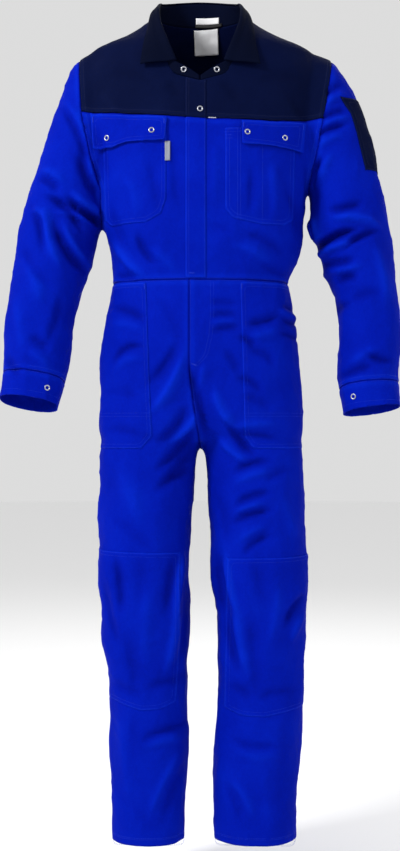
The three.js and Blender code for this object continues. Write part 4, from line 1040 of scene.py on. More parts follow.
# Outlines as seen from the front, x and z.
outlines = {
    "chestPocketLeft": [(-0.182, -0.215), (-0.178, -0.384), (-0.166, -0.396), (-0.099, -0.394),
                        (-0.072, -0.380), (-0.062, -0.352), (-0.062, -0.215)],
    "chestPocketRight": [(0.074, -0.222), (0.046, -0.222), (0.046, -0.372), (0.060, -0.388), (0.112, -0.398),
                         (0.156, -0.398), (0.174, -0.386), (0.178, -0.215), (0.080, -0.215)],
    "chestFlapLeft": [(-0.204, -0.188), (-0.201, -0.251), (-0.160, -0.254), (-0.133, -0.247),
                      (-0.064, -0.246), (-0.060, -0.202), (-0.126, -0.197), (-0.175, -0.191)],
    "chestFlapRight": [(0.077, -0.209), (0.076, -0.252), (0.133, -0.255), (0.189, -0.261), (0.196, -0.205),
                       (0.132, -0.210)],
    "hipPocketLeft": [(-0.260, -0.503), (-0.100, -0.503), (-0.089, -0.788), (-0.109, -0.812),
                      (-0.260, -0.812)],
    "hipPocketRight": [(0.260, -0.503), (0.074, -0.503), (0.082, -0.788), (0.099, -0.812), (0.260, -0.812)],
    "kneePocketLeft": [(-0.260, -1.001), (-0.037, -1.006), (-0.037, -1.166), (-0.045, -1.288),
                       (-0.076, -1.300), (-0.111, -1.302), (-0.159, -1.288), (-0.260, -1.284)],
    "kneePocketRight": [(0.260, -1.012), (0.050, -1.016), (0.049, -1.102), (0.046, -1.302),
                        (0.080, -1.313), (0.120, -1.314), (0.177, -1.304), (0.260, -1.298)],
    "frontStrip": [(-0.027, -0.100), (0.011, -0.100), (0.011, -0.496), (-0.027, -0.496)],
    "sleevePocket": [(0.262, -0.152), (0.283, -0.183), (0.293, -0.215), (0.311, -0.288), (0.420, -0.288),
                     (0.420, -0.150)],
}


def forward(height, last=0.0):
    # Only the part of an outline in front of a depth.
    return lambda p: np.maximum(height(p), p[:, 1] - last)


def onlyBody(height):
    # Only on the body, not on the sleeves beside it.
    return lambda p: np.maximum(height(p), np.maximum(-pastLeftArmhole(p), -pastRightArmhole(p)) + 0.002)


def onYoke(height):
    # Only above the yoke's seam and below the neck's.
    return lambda p: np.maximum(np.maximum(height(p), -pastYoke(p)), pastNeck(p) + 0.0015)


def belowYoke(height):
    return lambda p: np.maximum(height(p), pastYoke(p))


patchHeights = {name: pastOutline(corners) for name, corners in outlines.items()}
for name in ("chestPocketLeft", "chestPocketRight", "chestFlapLeft", "chestFlapRight",
             "hipPocketLeft", "hipPocketRight"):
    patchHeights[name] = onlyBody(patchHeights[name])
for name in ("hipPocketLeft", "hipPocketRight", "kneePocketLeft", "kneePocketRight"):
    patchHeights[name] = forward(patchHeights[name])
patchHeights["placketUpper"] = onYoke(patchHeights["frontStrip"])
patchHeights["frontPlacket"] = belowYoke(patchHeights["frontStrip"])
patchHeights["sleevePocket"] = forward(patchHeights["sleevePocket"], 0.048)
pocketLift = 0.0016
flapLift = 0.0054
stripLift = 0.0018
frontLimit = 0.02
sideLimit = 0.06
# Name, replaced node, lift, cloth, puff and how far back it may reach.
patchRows = [
    ("chestPocketLeft", "chest_pocket_left", pocketLift, "blue", 0.0012, frontLimit),
    ("chestPocketRight", "chest_pocket_right", pocketLift, "blue", 0.0012, frontLimit),
    ("chestFlapLeft", "chest_flap_left", flapLift, "blue", 0, frontLimit),
    ("chestFlapRight", "chest_flap_right", flapLift, "blue", 0, frontLimit),
    ("hipPocketLeft", "hip_pocket_left", pocketLift, "blue", 0.0008, frontLimit),
    ("hipPocketRight", "hip_pocket_right", pocketLift, "blue", 0.0008, frontLimit),
    ("kneePocketLeft", "knee_pocket_left", pocketLift, "blue", 0.0006, frontLimit),
    ("kneePocketRight", "knee_pocket_right", pocketLift, "blue", 0.0006, frontLimit),
    ("placketUpper", "placket_upper", stripLift, "navy", 0, frontLimit),
    ("frontPlacket", "placket", stripLift, "blue", 0, frontLimit),
    ("sleevePocket", "sleeve_pocket", stripLift, "navy", 0.0008, sideLimit),
]
for name, node, lift, cloth, puff, limit in patchRows:
    patch = addPatch(name, patchHeights[name], lift, cloth, puff, limit)
    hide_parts(node)
print("stage: pockets and flaps")


# The press studs: one ring stud modelled at the origin, then one copy at each place on the cloth.
def surfaceTree(names):
    points = []
    faces = []
    for name in names:
        mesh = shells[name].data
        faces += [[i + len(points) for i in polygon.vertices] for polygon in mesh.polygons]
        points += [v.co.copy() for v in mesh.vertices]
    return BVHTree.FromPolygons(points, faces)


def frontPoint(tree, x, z, reach=0.004):
    # The cloth's outer face at a place seen from the front, with the way that it faces round it.
    hits = []
    for dx, dz in ((0, 0), (reach, 0), (-reach, 0), (0, reach), (0, -reach)):
        point, normal, face, distance = tree.ray_cast(Vector((x + dx, -0.5, z + dz)), Vector((0, 1, 0)))
        hits.append((point, normal if normal.y < 0 else -normal))
    facing = sum((normal for point, normal in hits), Vector()).normalized()
    return hits[0][0], facing


# A stud is a metal ring, with the cloth showing through it.
studSizes = {"ring": 0.0043, "wire": 0.0013, "flat": 0.62}
bpy.ops.mesh.primitive_torus_add(
    major_radius=studSizes["ring"], minor_radius=studSizes["wire"], major_segments=28, minor_segments=10)
studModel = bpy.context.object
studModel.name = "studModel"
studModel.scale.z = studSizes["flat"]
bpy.ops.object.transform_apply(scale=True)
bpy.ops.object.mode_set(mode="EDIT")
bpy.ops.mesh.select_all(action="DESELECT")
bpy.ops.object.mode_set(mode="OBJECT")
inner = studSizes["ring"] - studSizes["wire"] * 0.75
for v in studModel.data.vertices:
    v.select = math.hypot(v.co.x, v.co.y) < inner
bpy.ops.object.mode_set(mode="EDIT")
bpy.ops.transform.translate(value=(0, 0, -0.0003))
bpy.ops.object.mode_set(mode="OBJECT")
bpy.ops.object.shade_smooth()
studPlaces = {
    "studCollarLeft": ("stud_collar_left", "collarStand", -0.030, -0.112),
    "studCollarRight": ("stud_collar_right", "collarStand", 0.031, -0.112),
    "studPlacket": ("stud_placket", "placketUpper", 0.000, -0.187),
    "studFlapLeftOuter": ("stud_flap_left_outer", "chestFlapLeft", -0.173, -0.236),
    "studFlapLeftInner": ("stud_flap_left_inner", "chestFlapLeft", -0.089, -0.227),
    "studFlapRightInner": ("stud_flap_right_inner", "chestFlapRight", 0.087, -0.231),
    "studFlapRightOuter": ("stud_flap_right_outer", "chestFlapRight", 0.157, -0.238),
    "studCuffLeft": ("stud_cuff_left", "cuffLeft", -0.283, -0.699),
    "studCuffRight": ("stud_cuff_right", "cuffRight", 0.285, -0.715),
}
studs = []
for name, (node, carrier, x, z) in studPlaces.items():
    point, facing = frontPoint(surfaceTree([carrier]), x, z)
    turn = facing.to_track_quat("Z", "Y").to_matrix().to_4x4()
    place = point + facing * studSizes["wire"] * 0.4
    stud = bpy.data.objects.new(name, studModel.data.copy())
    stud.data.transform(Matrix.Translation(place) @ turn)
    bpy.context.scene.collection.objects.link(stud)
    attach(stud, "root")
    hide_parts(node)
    studs.append(stud)
bpy.data.objects.remove(studModel)
print("stage: press studs")


# The tapes inside the back neck hang just in front of the cloth behind them, and the grey tab stands
# out beside the left flap.
def tapeRows(tree, label):
    # Rows of points in front of the back of the neck, turned in its own plane.
    middle = ((label["left"] + label["right"]) / 2, (label["low"] + label["high"]) / 2)
    turn = label["turn"]
    gaps = np.linspace(label["lowGap"], label["highGap"], label["rows"])
    grid = np.zeros((label["rows"], label["columns"], 3))
    for i, z in enumerate(np.linspace(label["low"], label["high"], label["rows"])):
        for j, x in enumerate(np.linspace(label["left"], label["right"], label["columns"])):
            dx = x - middle[0]
            dz = z - middle[1]
            px = middle[0] + dx * math.cos(turn) - dz * math.sin(turn)
            pz = middle[1] + dx * math.sin(turn) + dz * math.cos(turn)
            point, normal, face, distance = tree.ray_cast(Vector((px, 0, pz)), Vector((0, 1, 0)))
            grid[i, j] = (px, point.y - gaps[i], pz)
    return grid


tapes = {}


def addTape(name, grid, thickness, cloth):
    tape = addSheet(name, grid, thickness)
    tape["clothName"] = cloth
    tapes[name] = tape
    return tape


backTree = surfaceTree(["collarStand", "yokeBack"])
labelSizes = {
    "neckStrip": {"node": "neck_strip", "left": -0.008, "right": 0.037, "low": 0.0215, "high": 0.034,
                  "turn": 0.0, "lowGap": 0.0012, "highGap": 0.0012, "columns": 16, "rows": 6},
    "neckLabel": {"node": "neck_label", "left": -0.011, "right": 0.036, "low": -0.036, "high": 0.011,
                  "turn": 0.035, "lowGap": 0.0050, "highGap": 0.0022, "columns": 20, "rows": 20},
}
for name, label in labelSizes.items():
    grid = tapeRows(backTree, label)
    grid[..., 1] += 0.0006 * softNoise(grid.reshape(-1, 3), 0.03, 5).reshape(grid.shape[:2])
    node = label["node"]
    tape = addTape(name, grid[:, ::-1], 0.0006, "white")
    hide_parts(node)

# The hanging loop is a narrow black tape, sewn down at its ends and bowed out between them.
loopSizes = {"left": -0.009, "length": 0.052, "low": 0.0150, "high": 0.0213, "gap": 0.0016,
             "bow": 0.0045, "sag": 0.0018}
loopRows = []
for z in np.linspace(loopSizes["low"], loopSizes["high"], 5):
    row = []
    for share in np.linspace(0, 1, 30):
        x = loopSizes["left"] + loopSizes["length"] * share
        point, normal, face, distance = backTree.ray_cast(Vector((x, 0, z)), Vector((0, 1, 0)))
        bow = loopSizes["gap"] + loopSizes["bow"] * math.sin(math.pi * share) ** 0.6
        row.append((x, point.y - bow, z - loopSizes["sag"] * math.sin(math.pi * share)))
    loopRows.append(row)
hangerLoop = addTape("hangerLoop", np.array(loopRows)[:, ::-1], 0.0008, "black")
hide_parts("hanger_loop")

frontTree = surfaceTree(["bodyFrontLeft", "chestPocketLeft", "chestFlapLeft"])
tabSizes = {"left": -0.0645, "width": 0.0095, "low": -0.283, "high": -0.247, "gap": 0.0012, "stand": 0.0016}
tabRows = []
for z in np.linspace(tabSizes["low"], tabSizes["high"], 12):
    row = []
    for share in np.linspace(0, 1, 6):
        x = tabSizes["left"] + tabSizes["width"] * share
        point, facing = frontPoint(frontTree, x, z, 0.002)
        row.append((x, point.y - tabSizes["gap"] - tabSizes["stand"] * share, z))
    tabRows.append(row)
chestTab = addTape("chestTab", np.array(tabRows)[::-1, ::-1], 0.0007, "grey")
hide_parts("chest_tab")
print("stage: tapes and tab")


# Stitching: one stitch is modelled, then repeated along lines where a height passes a level.
def levelLines(skin, height, level, zone):
    # Chains of points, with their normals, where a height passes a level on a surface.
    points, faces, normals = skin
    heights = height(points) - level
    inZone = zone(points)
    sizes = np.array([len(face) for face in faces])
    corners = np.concatenate([np.array(face) for face in faces])
    starts = np.cumsum(sizes) - sizes
    following = np.arange(len(corners)) + 1
    following[starts + sizes - 1] = starts
    ends = corners[following]
    faceOf = np.repeat(np.arange(len(faces)), sizes)
    passes = ((heights[corners] < 0) != (heights[ends] < 0)) & inZone[corners] & inZone[ends]
    byFace = {}
    for k in np.nonzero(passes)[0]:
        edge = (min(corners[k], ends[k]), max(corners[k], ends[k]))
        byFace.setdefault(faceOf[k], []).append(edge)
    links = {}
    for edges in byFace.values():
        if len(edges) == 2:
            links.setdefault(edges[0], []).append(edges[1])
            links.setdefault(edges[1], []).append(edges[0])
    chains = []
    seen = set()
    for first in sorted(links, key=lambda edge: (len(links[edge]), edge)):
        if first in seen:
            continue
        seen.add(first)
        chain = [first]
        while True:
            onward = [edge for edge in links[chain[-1]] if edge not in seen]
            if not onward:
                break
            chain.append(onward[0])
            seen.add(onward[0])
        a = np.array([edge[0] for edge in chain])
        b = np.array([edge[1] for edge in chain])
        share = (heights[a] / (heights[a] - heights[b]))[:, None]
        line = points[a] * (1 - share) + points[b] * share
        facing = normals[a] * (1 - share) + normals[b] * share
        chains.append((line, facing))
    return chains


stitchSizes = {"length": 0.0026, "radius": 0.00034, "pitch": 0.0034, "lift": 0.00008}
bpy.ops.mesh.primitive_uv_sphere_add(segments=5, ring_count=3, radius=1)
stitchModel = bpy.context.object
stitchModel.name = "stitchModel"
stitchPoints = meshPoints(stitchModel.data)[:, [2, 0, 1]]
stitchPoints *= (stitchSizes["length"] / 2, stitchSizes["radius"], stitchSizes["radius"])
stitchFaces = [tuple(polygon.vertices) for polygon in stitchModel.data.polygons]
bpy.data.objects.remove(stitchModel)
threads = {}


def addStitches(thread, line, facing, pitch=stitchSizes["pitch"], turned=False):
    # Stitches at even steps along a line of points.
    step = np.linalg.norm(np.diff(line, axis=0), axis=1)
    at = np.concatenate([[0], np.cumsum(step)])
    if at[-1] < 2 * pitch:
        return
    places = np.arange(pitch / 2, at[-1], pitch)
    middle = np.stack([np.interp(places, at, line[:, k]) for k in range(3)], axis=1)
    normal = np.stack([np.interp(places, at, facing[:, k]) for k in range(3)], axis=1)
    ahead = np.stack([np.interp(places + 0.001, at, line[:, k]) for k in range(3)], axis=1)
    behind = np.stack([np.interp(places - 0.001, at, line[:, k]) for k in range(3)], axis=1)
    normal /= np.linalg.norm(normal, axis=1, keepdims=True)
    along = ahead - behind
    along -= normal * (along * normal).sum(axis=1, keepdims=True)
    along /= np.maximum(np.linalg.norm(along, axis=1, keepdims=True), 1e-9)
    across = np.cross(normal, along)
    if turned:
        along, across = across, along
    threads.setdefault(thread, []).append((middle + normal * stitchSizes["lift"], along, across, normal))


def smoothLine(line, rounds=3):
    line = line.copy()
    for _ in range(rounds):
        line[1:-1] = (line[:-2] + 2 * line[1:-1] + line[2:]) / 4
    return line


def sewAlong(thread, skin, height, levels, zone=anywhere):
    for level in levels:
        for line, facing in levelLines(skin, height, level, zone):
            if len(line) > 6:
                addStitches(thread, smoothLine(line), facing)


def onFront(p):
    return onTrunk(p) & (p[:, 1] < 0)


def inFront(p):
    return p[:, 1] < -0.004


def onBodyCloth(p):
    # The blue part of the trunk beside the armholes.
    return onTrunk(p) & (pastYoke(p) < -0.001) & (p[:, 2] > -0.42)


def crotchUp(p):
    return onTrousers(p) & (p[:, 2] > -0.82)


def atX(x):
    return lambda p: p[:, 0] - x


def atZ(z):
    return lambda p: p[:, 2] - z


# Rows along the suit's seams: how far each row lies past its line, and where it is sewn.
suitSkin = (formPoints, formFaces, formNormals)
double = (0.0022, 0.0082)
innerDouble = (-0.0022, -0.0082)
flyStitchRows = [(-0.499, 0.0190), (-0.560, 0.0195), (-0.600, 0.0170), (-0.640, 0.0080), (-0.665, -0.0160)]
seamStitches = [
    ("navyThread", pastYoke, double, lambda p: onTop(p) & (pastNeck(p) < -0.004)),
    ("blueThread", pastWaist, (0.0022,), onTrunk),
    ("blueThread", pastWaist, (-0.0022,), onTrunk),
    ("navyThread", pastLeftArmhole, double, lambda p: onTrunk(p) & (pastYoke(p) > 0.001)),
    ("blueThread", pastLeftArmhole, double, onBodyCloth),
    ("navyThread", pastRightArmhole, double, lambda p: onTrunk(p) & (pastYoke(p) > 0.001)),
    ("blueThread", pastRightArmhole, double, onBodyCloth),
    ("blueThread", pastSide, double, onTrousers),
    ("blueThread", pastSide, (0.0022,),
     lambda p: onTop(p) & (pastYoke(p) < -0.002) & (p[:, 2] > waistLevel)),
    ("blueThread", pastBack, double, lambda p: crotchUp(p) & (p[:, 1] > 0.004)),
    ("blueThread", pastFly, (0.0022,), lambda p: crotchUp(p) & inFront(p)),
    ("blueThread", lambda p: p[:, 0] - lineAt(flyStitchRows, p[:, 2]), (0, 0.006),
     lambda p: onFront(p) & (p[:, 2] < waistLevel - 0.004) & (p[:, 2] > -0.662)),
    ("blueThread", atZ(hemLevel), (0.012, 0.0145), onTrousers),
    ("blueThread", pastLeftCuff, (0.0022, 0.0380), onLeftSleeve),
    ("blueThread", pastLeftCuff, innerDouble, onLeftSleeve),
    ("blueThread", pastRightCuff, (0.0022, 0.0380), onRightSleeve),
    ("blueThread", pastRightCuff, innerDouble, onRightSleeve),
]
for thread, height, levels, zone in seamStitches:
    sewAlong(thread, suitSkin, height, levels, zone)

# Rows on the pockets, the flaps and the front strip.
for name in ("chestPocketLeft", "chestPocketRight", "chestFlapLeft", "chestFlapRight"):
    sewAlong("blueThread", skins[name], patchHeights[name], innerDouble)
for name in ("hipPocketLeft", "hipPocketRight", "kneePocketLeft", "kneePocketRight"):
    sewAlong("blueThread", skins[name], patchHeights[name], innerDouble, inFront)
hipRowLevel = -0.752
for name in ("hipPocketLeft", "hipPocketRight"):
    sewAlong("blueThread", skins[name], atZ(hipRowLevel), (0, 0.006), lambda p: p[:, 1] < -0.002)
sewAlong("navyThread", skins["sleevePocket"], patchHeights["sleevePocket"], innerDouble)
stripRowsX = (-0.0245, -0.0205, 0.0088)
for name, thread in (("placketUpper", "navyThread"), ("frontPlacket", "blueThread")):
    for x in stripRowsX:
        sewAlong(thread, skins[name], atX(x), (0,))
penRowsX = (0.069, 0.0745, 0.115)
for x in penRowsX:
    sewAlong("blueThread", skins["chestPocketRight"], atX(x), (0,), lambda p: p[:, 2] < -0.208)


def rowThrough(tree, x0, z0, x1, z1, count=12):
    # A straight row on the cloth, seen from the front.
    line = []
    facing = []
    for share in np.linspace(0, 1, count):
        point, normal = frontPoint(tree, x0 + (x1 - x0) * share, z0 + (z1 - z0) * share, 0.002)
        line.append(point)
        facing.append(normal)
    return np.array(line), np.array(facing)


# Bar tacks at the corners that take strain, as thread, x0, z0, x1, z1, and the pale end of the zip.
bars = [
    ("blueThread", -0.200, -0.194, -0.200, -0.204),
    ("blueThread", -0.066, -0.206, -0.066, -0.216),
    ("blueThread", 0.080, -0.213, 0.080, -0.223),
    ("blueThread", 0.193, -0.209, 0.193, -0.219),
    ("blueThread", -0.103, -0.506, -0.103, -0.516),
    ("blueThread", 0.077, -0.506, 0.077, -0.516),
    ("blueThread", -0.016, -0.655, -0.006, -0.659),
    ("blueThread", -0.020, -0.488, -0.010, -0.488),
    ("paleThread", 0.015, -0.2030, 0.030, -0.2034),
]
barPitch = 0.0007
bodyTree = surfaceTree([
    "bodyFrontLeft", "bodyFrontRight", "trouserFrontLeft", "trouserFrontRight", "yokeFrontRight",
    "frontPlacket", "chestPocketRight", "chestFlapLeft", "chestFlapRight", "hipPocketLeft", "hipPocketRight"])
for thread, x0, z0, x1, z1 in bars:
    line, facing = rowThrough(bodyTree, x0, z0, x1, z1)
    addStitches(thread, line, facing, barPitch, True)
# The short rows at the pen slot, beside the right flap.
slotRows = {
    "left": 0.0455, "right": 0.0590, "pitch": 0.0030, "levels": (-0.2240, -0.2300, -0.2360, -0.2420),
}
for z in slotRows["levels"]:
    line, facing = rowThrough(bodyTree, slotRows["left"], z, slotRows["right"], z)
    addStitches("blueThread", line, facing, slotRows["pitch"])

stitching = {}
for thread, rows in threads.items():
    middle, along, across, normal = (np.concatenate([row[k] for row in rows]) for k in range(4))
    random = np.random.default_rng(17)
    length = random.uniform(0.88, 1.12, (len(middle), 1, 1))
    points = middle[:, None] + along[:, None] * stitchPoints[None, :, :1] * length
    points = points + across[:, None] * stitchPoints[None, :, 1:2]
    points = points + normal[:, None] * stitchPoints[None, :, 2:]
    count = len(stitchPoints)
    faces = [tuple(i + k * count for i in face) for k in range(len(middle)) for face in stitchFaces]
    mesh = bpy.data.meshes.new(thread)
    mesh.from_pydata(points.reshape(-1, 3).tolist(), [], faces)
    mesh.polygons.foreach_set("use_smooth", [True] * len(mesh.polygons))
    sewn = bpy.data.objects.new(thread, mesh)
    bpy.context.scene.collection.objects.link(sewn)
    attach(sewn, "root")
    stitching[thread] = sewn
    print("thread", thread, len(middle), "stitches")
print("stage: stitching")


# Wear and painted shade: the cloth is paler on fold ridges, as worn dye and painted highlight, and along
# seams, as worn dye; it is darker in fold troughs and in seam grooves, as painted shade.
evenWearAndShade = 0.5
# Among these sizes, the fold ones set the painted shade and highlight on folds, and the dark ones the painted
# shade in seam grooves.
wearAndShadeSizes = {
    "fold": 0.010, "foldShadeAndWear": 0.8, "seamShadeAndWear": 0.22, "edge": 0.0025, "edgeWear": 0.35,
    "paleAt": 0.006, "paleWidth": 0.004, "grooveShadeWidth": 0.0018, "dark": 1.6,
}


def wearAndShadeOf(points, normals):
    # Folds: painted shade in the troughs, and painted highlight with worn dye on the ridges.
    folds = foldTotal(points, normals)
    wornAndShaded = evenWearAndShade + np.clip(folds / wearAndShadeSizes["fold"], -0.5, 0.5) * wearAndShadeSizes["foldShadeAndWear"]
    for height, zone, depth in seams:
        if depth:
            past = height(points)
            # Beside a seam a pale band of worn dye, and on the seam line painted shade in its groove.
            pale = np.exp(-(((np.abs(past) - wearAndShadeSizes["paleAt"]) / wearAndShadeSizes["paleWidth"]) ** 2))
            along = pale - wearAndShadeSizes["dark"] * np.exp(-((past / wearAndShadeSizes["grooveShadeWidth"]) ** 2))
            wornAndShaded += np.where(zone(points), wearAndShadeSizes["seamShadeAndWear"] * along, 0)
    return np.clip(wornAndShaded, 0, 1)


for name, shell in shells.items():
    points = meshPoints(shell.data)
    if name in patchHeights:
        past = patchHeights[name](points)
        wornAndShaded = wearAndShadeOf(points, meshNormals(shell.data))
        wornAndShaded = wornAndShaded + wearAndShadeSizes["edgeWear"] * np.exp(-((past / wearAndShadeSizes["edge"]) ** 2))
    elif name in ("collarStand", "collarLeaf"):
        wornAndShaded = np.full(len(points), evenWearAndShade)
    else:
        wornAndShaded = wearAndShadeOf(points, meshNormals(shell.data))
    attribute = shell.data.attributes.new("wearAndShade", "FLOAT", "POINT")
    attribute.data.foreach_set("value", np.clip(wornAndShaded, 0, 1).astype(np.float32))


# Materials.
def addMath(tree, operation, a, b):
    node = tree.nodes.new("ShaderNodeMath")
    node.operation = operation
    for socket, value in zip(node.inputs, (a, b)):
        if isinstance(value, (int, float)):
            socket.default_value = value
        else:
            tree.links.new(value, socket)
    return node.outputs[0]


def weaveMaterial(name, look):
    # Cloth with a diagonal weave, uneven yarns, uneven dye, and wear with painted shade and highlight of
    # folds and seams.
    made = bpy.data.materials.new(name)
    made.use_nodes = True
    tree = made.node_tree
    shader = tree.nodes["Principled BSDF"]
    shader.inputs["Specular IOR Level"].default_value = look["gloss"]
    shader.inputs["Sheen Weight"].default_value = look["sheen"]
    shader.inputs["Sheen Roughness"].default_value = 0.45
    place = tree.nodes.new("ShaderNodeTexCoord").outputs["Object"]
    weave = tree.nodes.new("ShaderNodeTexWave")
    weave.bands_direction = look["bands"]
    weave.inputs["Scale"].default_value = look["weaveScale"]
    weave.inputs["Distortion"].default_value = 0.8
    weave.inputs["Detail"].default_value = 1
    weave.inputs["Detail Scale"].default_value = 0.6
    yarn = tree.nodes.new("ShaderNodeTexNoise")
    yarn.inputs["Scale"].default_value = look["yarnScale"]
    yarn.inputs["Detail"].default_value = 2
    cloud = tree.nodes.new("ShaderNodeTexNoise")
    cloud.inputs["Scale"].default_value = look["cloudScale"]
    cloud.inputs["Detail"].default_value = 4
    # The attribute read here is wear with painted shade in fold troughs and seam grooves and painted
    # highlight on fold ridges.
    wearAndShade = tree.nodes.new("ShaderNodeAttribute")
    wearAndShade.attribute_name = "wearAndShade"
    for node in (weave, yarn, cloud):
        tree.links.new(place, node.inputs["Vector"])
    shade = addMath(tree, "MULTIPLY", addMath(tree, "SUBTRACT", cloud.outputs["Fac"], 0.5), look["cloud"])
    yarns = addMath(tree, "MULTIPLY", addMath(tree, "SUBTRACT", yarn.outputs["Fac"], 0.5), look["yarn"])
    twill = addMath(tree, "MULTIPLY", addMath(tree, "SUBTRACT", weave.outputs["Fac"], 0.5), look["twill"])
    total = addMath(tree, "ADD", addMath(tree, "ADD", shade, yarns), twill)
    if look["wearAndShade"]:
        wornAndShaded = addMath(tree, "MULTIPLY", addMath(tree, "SUBTRACT", wearAndShade.outputs["Fac"], 0.5), look["wearAndShade"])
        total = addMath(tree, "ADD", total, wornAndShaded)
    ramp = tree.nodes.new("ShaderNodeValToRGB")
    ramp.color_ramp.elements[0].color = (*look["dark"], 1)
    ramp.color_ramp.elements[1].color = (*look["light"], 1)
    middle = ramp.color_ramp.elements.new(0.5)
    middle.color = (*look["color"], 1)
    tree.links.new(addMath(tree, "ADD", total, 0.5), ramp.inputs["Fac"])
    tree.links.new(ramp.outputs["Color"], shader.inputs["Base Color"])
    rough = addMath(tree, "ADD", addMath(tree, "MULTIPLY", yarn.outputs["Fac"], 0.16), look["rough"] - 0.08)
    tree.links.new(rough, shader.inputs["Roughness"])
    relief = addMath(tree, "ADD", weave.outputs["Fac"], addMath(tree, "MULTIPLY", yarn.outputs["Fac"], 0.7))
    bump = tree.nodes.new("ShaderNodeBump")
    bump.inputs["Strength"].default_value = look["bump"]
    bump.inputs["Distance"].default_value = 0.00025
    tree.links.new(relief, bump.inputs["Height"])
    tree.links.new(bump.outputs["Normal"], shader.inputs["Normal"])
    return made


blueLook = {
    "color": (0.0002, 0.0080, 0.340), "dark": (0.0001, 0.0028, 0.180), "light": (0.0008, 0.0190, 0.480),
    "gloss": 0.02, "sheen": 0, "rough": 0.78, "bands": "DIAGONAL", "weaveScale": 420, "yarnScale": 260,
    "cloudScale": 11, "cloud": 0.50, "yarn": 0.30, "twill": 0.16, "wearAndShade": 0.90, "bump": 0.5,
}
navyLook = dict(
    blueLook, color=(0.0009, 0.0033, 0.0270), dark=(0.0006, 0.0018, 0.016), light=(0.0030, 0.0070, 0.046),
    gloss=0.03)
# The collar is the navy twill painted darker, as painted shade.
shadedCollarLook = dict(
    navyLook, color=(0.0008, 0.0022, 0.0125), dark=(0.0004, 0.0012, 0.0075), light=(0.0020, 0.0045, 0.022))
whiteLook = {
    "color": (0.86, 0.86, 0.88), "dark": (0.76, 0.76, 0.78), "light": (0.92, 0.92, 0.93), "gloss": 0.35,
    "sheen": 0.05, "rough": 0.5, "bands": "X", "weaveScale": 500, "yarnScale": 420, "cloudScale": 40,
    "cloud": 0.5, "yarn": 0.3, "twill": 0.15, "wearAndShade": 0, "bump": 0.3,
}
greyLook = dict(whiteLook, color=(0.22, 0.24, 0.30), dark=(0.16, 0.18, 0.23), light=(0.29, 0.31, 0.37))
blackLook = dict(
    whiteLook, color=(0.008, 0.008, 0.010), dark=(0.004, 0.004, 0.005), light=(0.018, 0.018, 0.020),
    gloss=0.2)
twist = {"twill": 0.6, "weaveScale": 900}
shine = {"wearAndShade": 0, "rough": 0.55, "gloss": 0.25}
threadLooks = {
    "blueThread": dict(blueLook, color=(0.0025, 0.026, 0.560), light=(0.008, 0.06, 0.75), **twist, **shine),
    "navyThread": dict(navyLook, color=(0.0055, 0.0110, 0.060), **twist, **shine),
    "paleThread": dict(whiteLook, color=(0.34, 0.35, 0.42), **twist),
}


def metalMaterial(name, look):
    # Pressed metal, with fine scratches and dulled patches.
    made = bpy.data.materials.new(name)
    made.use_nodes = True
    tree = made.node_tree
    shader = tree.nodes["Principled BSDF"]
    shader.inputs["Metallic"].default_value = 1
    place = tree.nodes.new("ShaderNodeTexCoord").outputs["Object"]
    scratch = tree.nodes.new("ShaderNodeTexNoise")
    scratch.inputs["Scale"].default_value = 900
    dull = tree.nodes.new("ShaderNodeTexNoise")
    dull.inputs["Scale"].default_value = 160
    for node in (scratch, dull):
        tree.links.new(place, node.inputs["Vector"])
    ramp = tree.nodes.new("ShaderNodeValToRGB")
    ramp.color_ramp.elements[0].color = (*look["dark"], 1)
    ramp.color_ramp.elements[1].color = (*look["light"], 1)
    tree.links.new(dull.outputs["Fac"], ramp.inputs["Fac"])
    tree.links.new(ramp.outputs["Color"], shader.inputs["Base Color"])
    rough = addMath(tree, "ADD", addMath(tree, "MULTIPLY", dull.outputs["Fac"], 0.2), look["rough"])
    tree.links.new(rough, shader.inputs["Roughness"])
    bump = tree.nodes.new("ShaderNodeBump")
    bump.inputs["Strength"].default_value = 0.15
    bump.inputs["Distance"].default_value = 0.0001
    tree.links.new(scratch.outputs["Fac"], bump.inputs["Height"])
    tree.links.new(bump.outputs["Normal"], shader.inputs["Normal"])
    return made


cloths = {
    "blue": ("blue_twill", weaveMaterial("blueTwill", blueLook)),
    "navy": ("navy_twill", weaveMaterial("navyTwill", navyLook)),
    # The collar's copy of the navy twill is painted darker, as painted shade.
    "shadedCollar": ("navy_twill", weaveMaterial("shadedCollarTwill", shadedCollarLook)),
    "white": ("white_tape", weaveMaterial("whiteTape", whiteLook)),
    "grey": ("grey_tape", weaveMaterial("greyTape", greyLook)),
    "black": ("black_tape", weaveMaterial("blackTape", blackLook)),
}
for piece in list(shells.values()) + list(tapes.values()):
    slot, material = cloths[piece["clothName"]]
    piece.data.materials.append(material)
for thread, sewn in stitching.items():
    sewn.data.materials.append(weaveMaterial(thread, threadLooks[thread]))
studLook = {"dark": (0.30, 0.31, 0.36), "light": (0.58, 0.59, 0.64), "rough": 0.24}
studMetal = metalMaterial("studMetal", studLook)
for stud in studs:
    stud.data.materials.append(studMetal)
bpy.data.objects.remove(suitForm)
print("stage: materials")

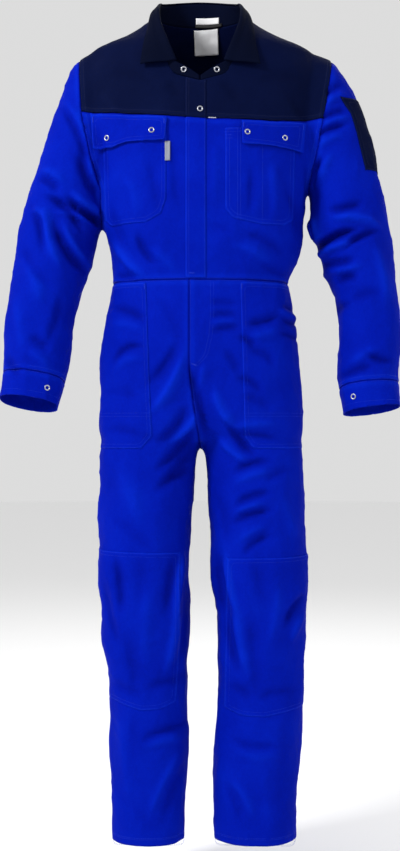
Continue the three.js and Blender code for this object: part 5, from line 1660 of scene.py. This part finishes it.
# Each sheet of cloth: the size that it was cut to in metres, and how it is held.
for row in panels:
    panel = dict(zip(panelColumns, row))
sheetColumns = ("name", "width", "length", "area", "held", "restsOn")
sheets = [
    ("chestPocketLeft", 0.140, 0.200, 0.0250, "laid", "bodyFrontLeft"),
    ("chestPocketRight", 0.140, 0.200, 0.0262, "laid", "bodyFrontRight"),
    ("chestFlapLeft", 0.152, 0.062, 0.0085, "laid", "chestPocketLeft"),
    ("chestFlapRight", 0.128, 0.054, 0.0066, "laid", "chestPocketRight"),
    ("hipPocketLeft", 0.190, 0.315, 0.0500, "laid", "trouserFrontLeft"),
    ("hipPocketRight", 0.200, 0.315, 0.0560, "laid", "trouserFrontRight"),
    ("kneePocketLeft", 0.240, 0.300, 0.0640, "laid", "trouserFrontLeft"),
    ("kneePocketRight", 0.240, 0.300, 0.0685, "laid", "trouserFrontRight"),
    ("placketUpper", 0.038, 0.080, 0.00297, "laid", "yokeFrontLeft"),
    ("frontPlacket", 0.038, 0.310, 0.0117, "laid", "bodyFrontLeft"),
    ("sleevePocket", 0.140, 0.140, 0.0177, "laid", "sleeveRight"),
    ("collarStand", 0.450, 0.045, 0.0192, "stretched", None),
    ("collarLeaf", 0.480, 0.080, 0.0330, "folded", "collarStand"),
    ("neckStrip", 0.045, 0.013, None, "laid", "collarStand"),
    ("neckLabel", 0.047, 0.047, None, "hung", None),
    ("hangerLoop", 0.058, 0.010, 0.00036, "hung", None),
    ("chestTab", 0.010, 0.036, None, "hung", None),
]
for row in sheets:
    sheet = dict(zip(sheetColumns, row))
    piece = shells.get(sheet["name"]) or tapes[sheet["name"]]

# A plain pale floor and soft studio light.
stageLook = {"floorZ": -1.640, "radius": 14, "grey": 0.95, "rough": 0.9, "gloss": 0.1, "sky": 0.72}
bpy.ops.mesh.primitive_circle_add(
    vertices=96, radius=stageLook["radius"], fill_type="NGON", location=(0, 0, stageLook["floorZ"]))
floor = bpy.context.object
floor.name = "floor"
bpy.ops.object.transform_apply(location=True)
floorMaterial = bpy.data.materials.new("paleFloor")
floorMaterial.use_nodes = True
floorInputs = floorMaterial.node_tree.nodes["Principled BSDF"].inputs
floorInputs["Base Color"].default_value = (stageLook["grey"], stageLook["grey"], stageLook["grey"], 1)
floorInputs["Roughness"].default_value = stageLook["rough"]
floorInputs["Specular IOR Level"].default_value = stageLook["gloss"]
floor.data.materials.append(floorMaterial)
lightColumns = ("x", "y", "z", "energy", "size", "aimZ")
lights = [
    (-2.4, -1.9, 1.5, 105, 0.8, -0.7),
    (2.4, -1.9, 0.3, 14, 1.6, -0.8),
    (0.6, 2.6, 1.6, 40, 2.0, -0.6),
]
for row in lights:
    light = dict(zip(lightColumns, row))
    place = Vector((light["x"], light["y"], light["z"]))
    bpy.ops.object.light_add(type="AREA", location=place)
    lamp = bpy.context.object
    lamp.data.energy = light["energy"]
    lamp.data.size = light["size"]
    lamp.rotation_euler = (Vector((0, 0, light["aimZ"])) - place).to_track_quat("-Z", "Y").to_euler()
world = bpy.data.worlds.new("studio")
bpy.context.scene.world = world
world.use_nodes = True
world.node_tree.nodes["Background"].inputs["Color"].default_value = (1, 1, 1, 1)
world.node_tree.nodes["Background"].inputs["Strength"].default_value = stageLook["sky"]
bpy.context.scene.view_settings.view_transform = "Standard"
print("stage: floor and light")
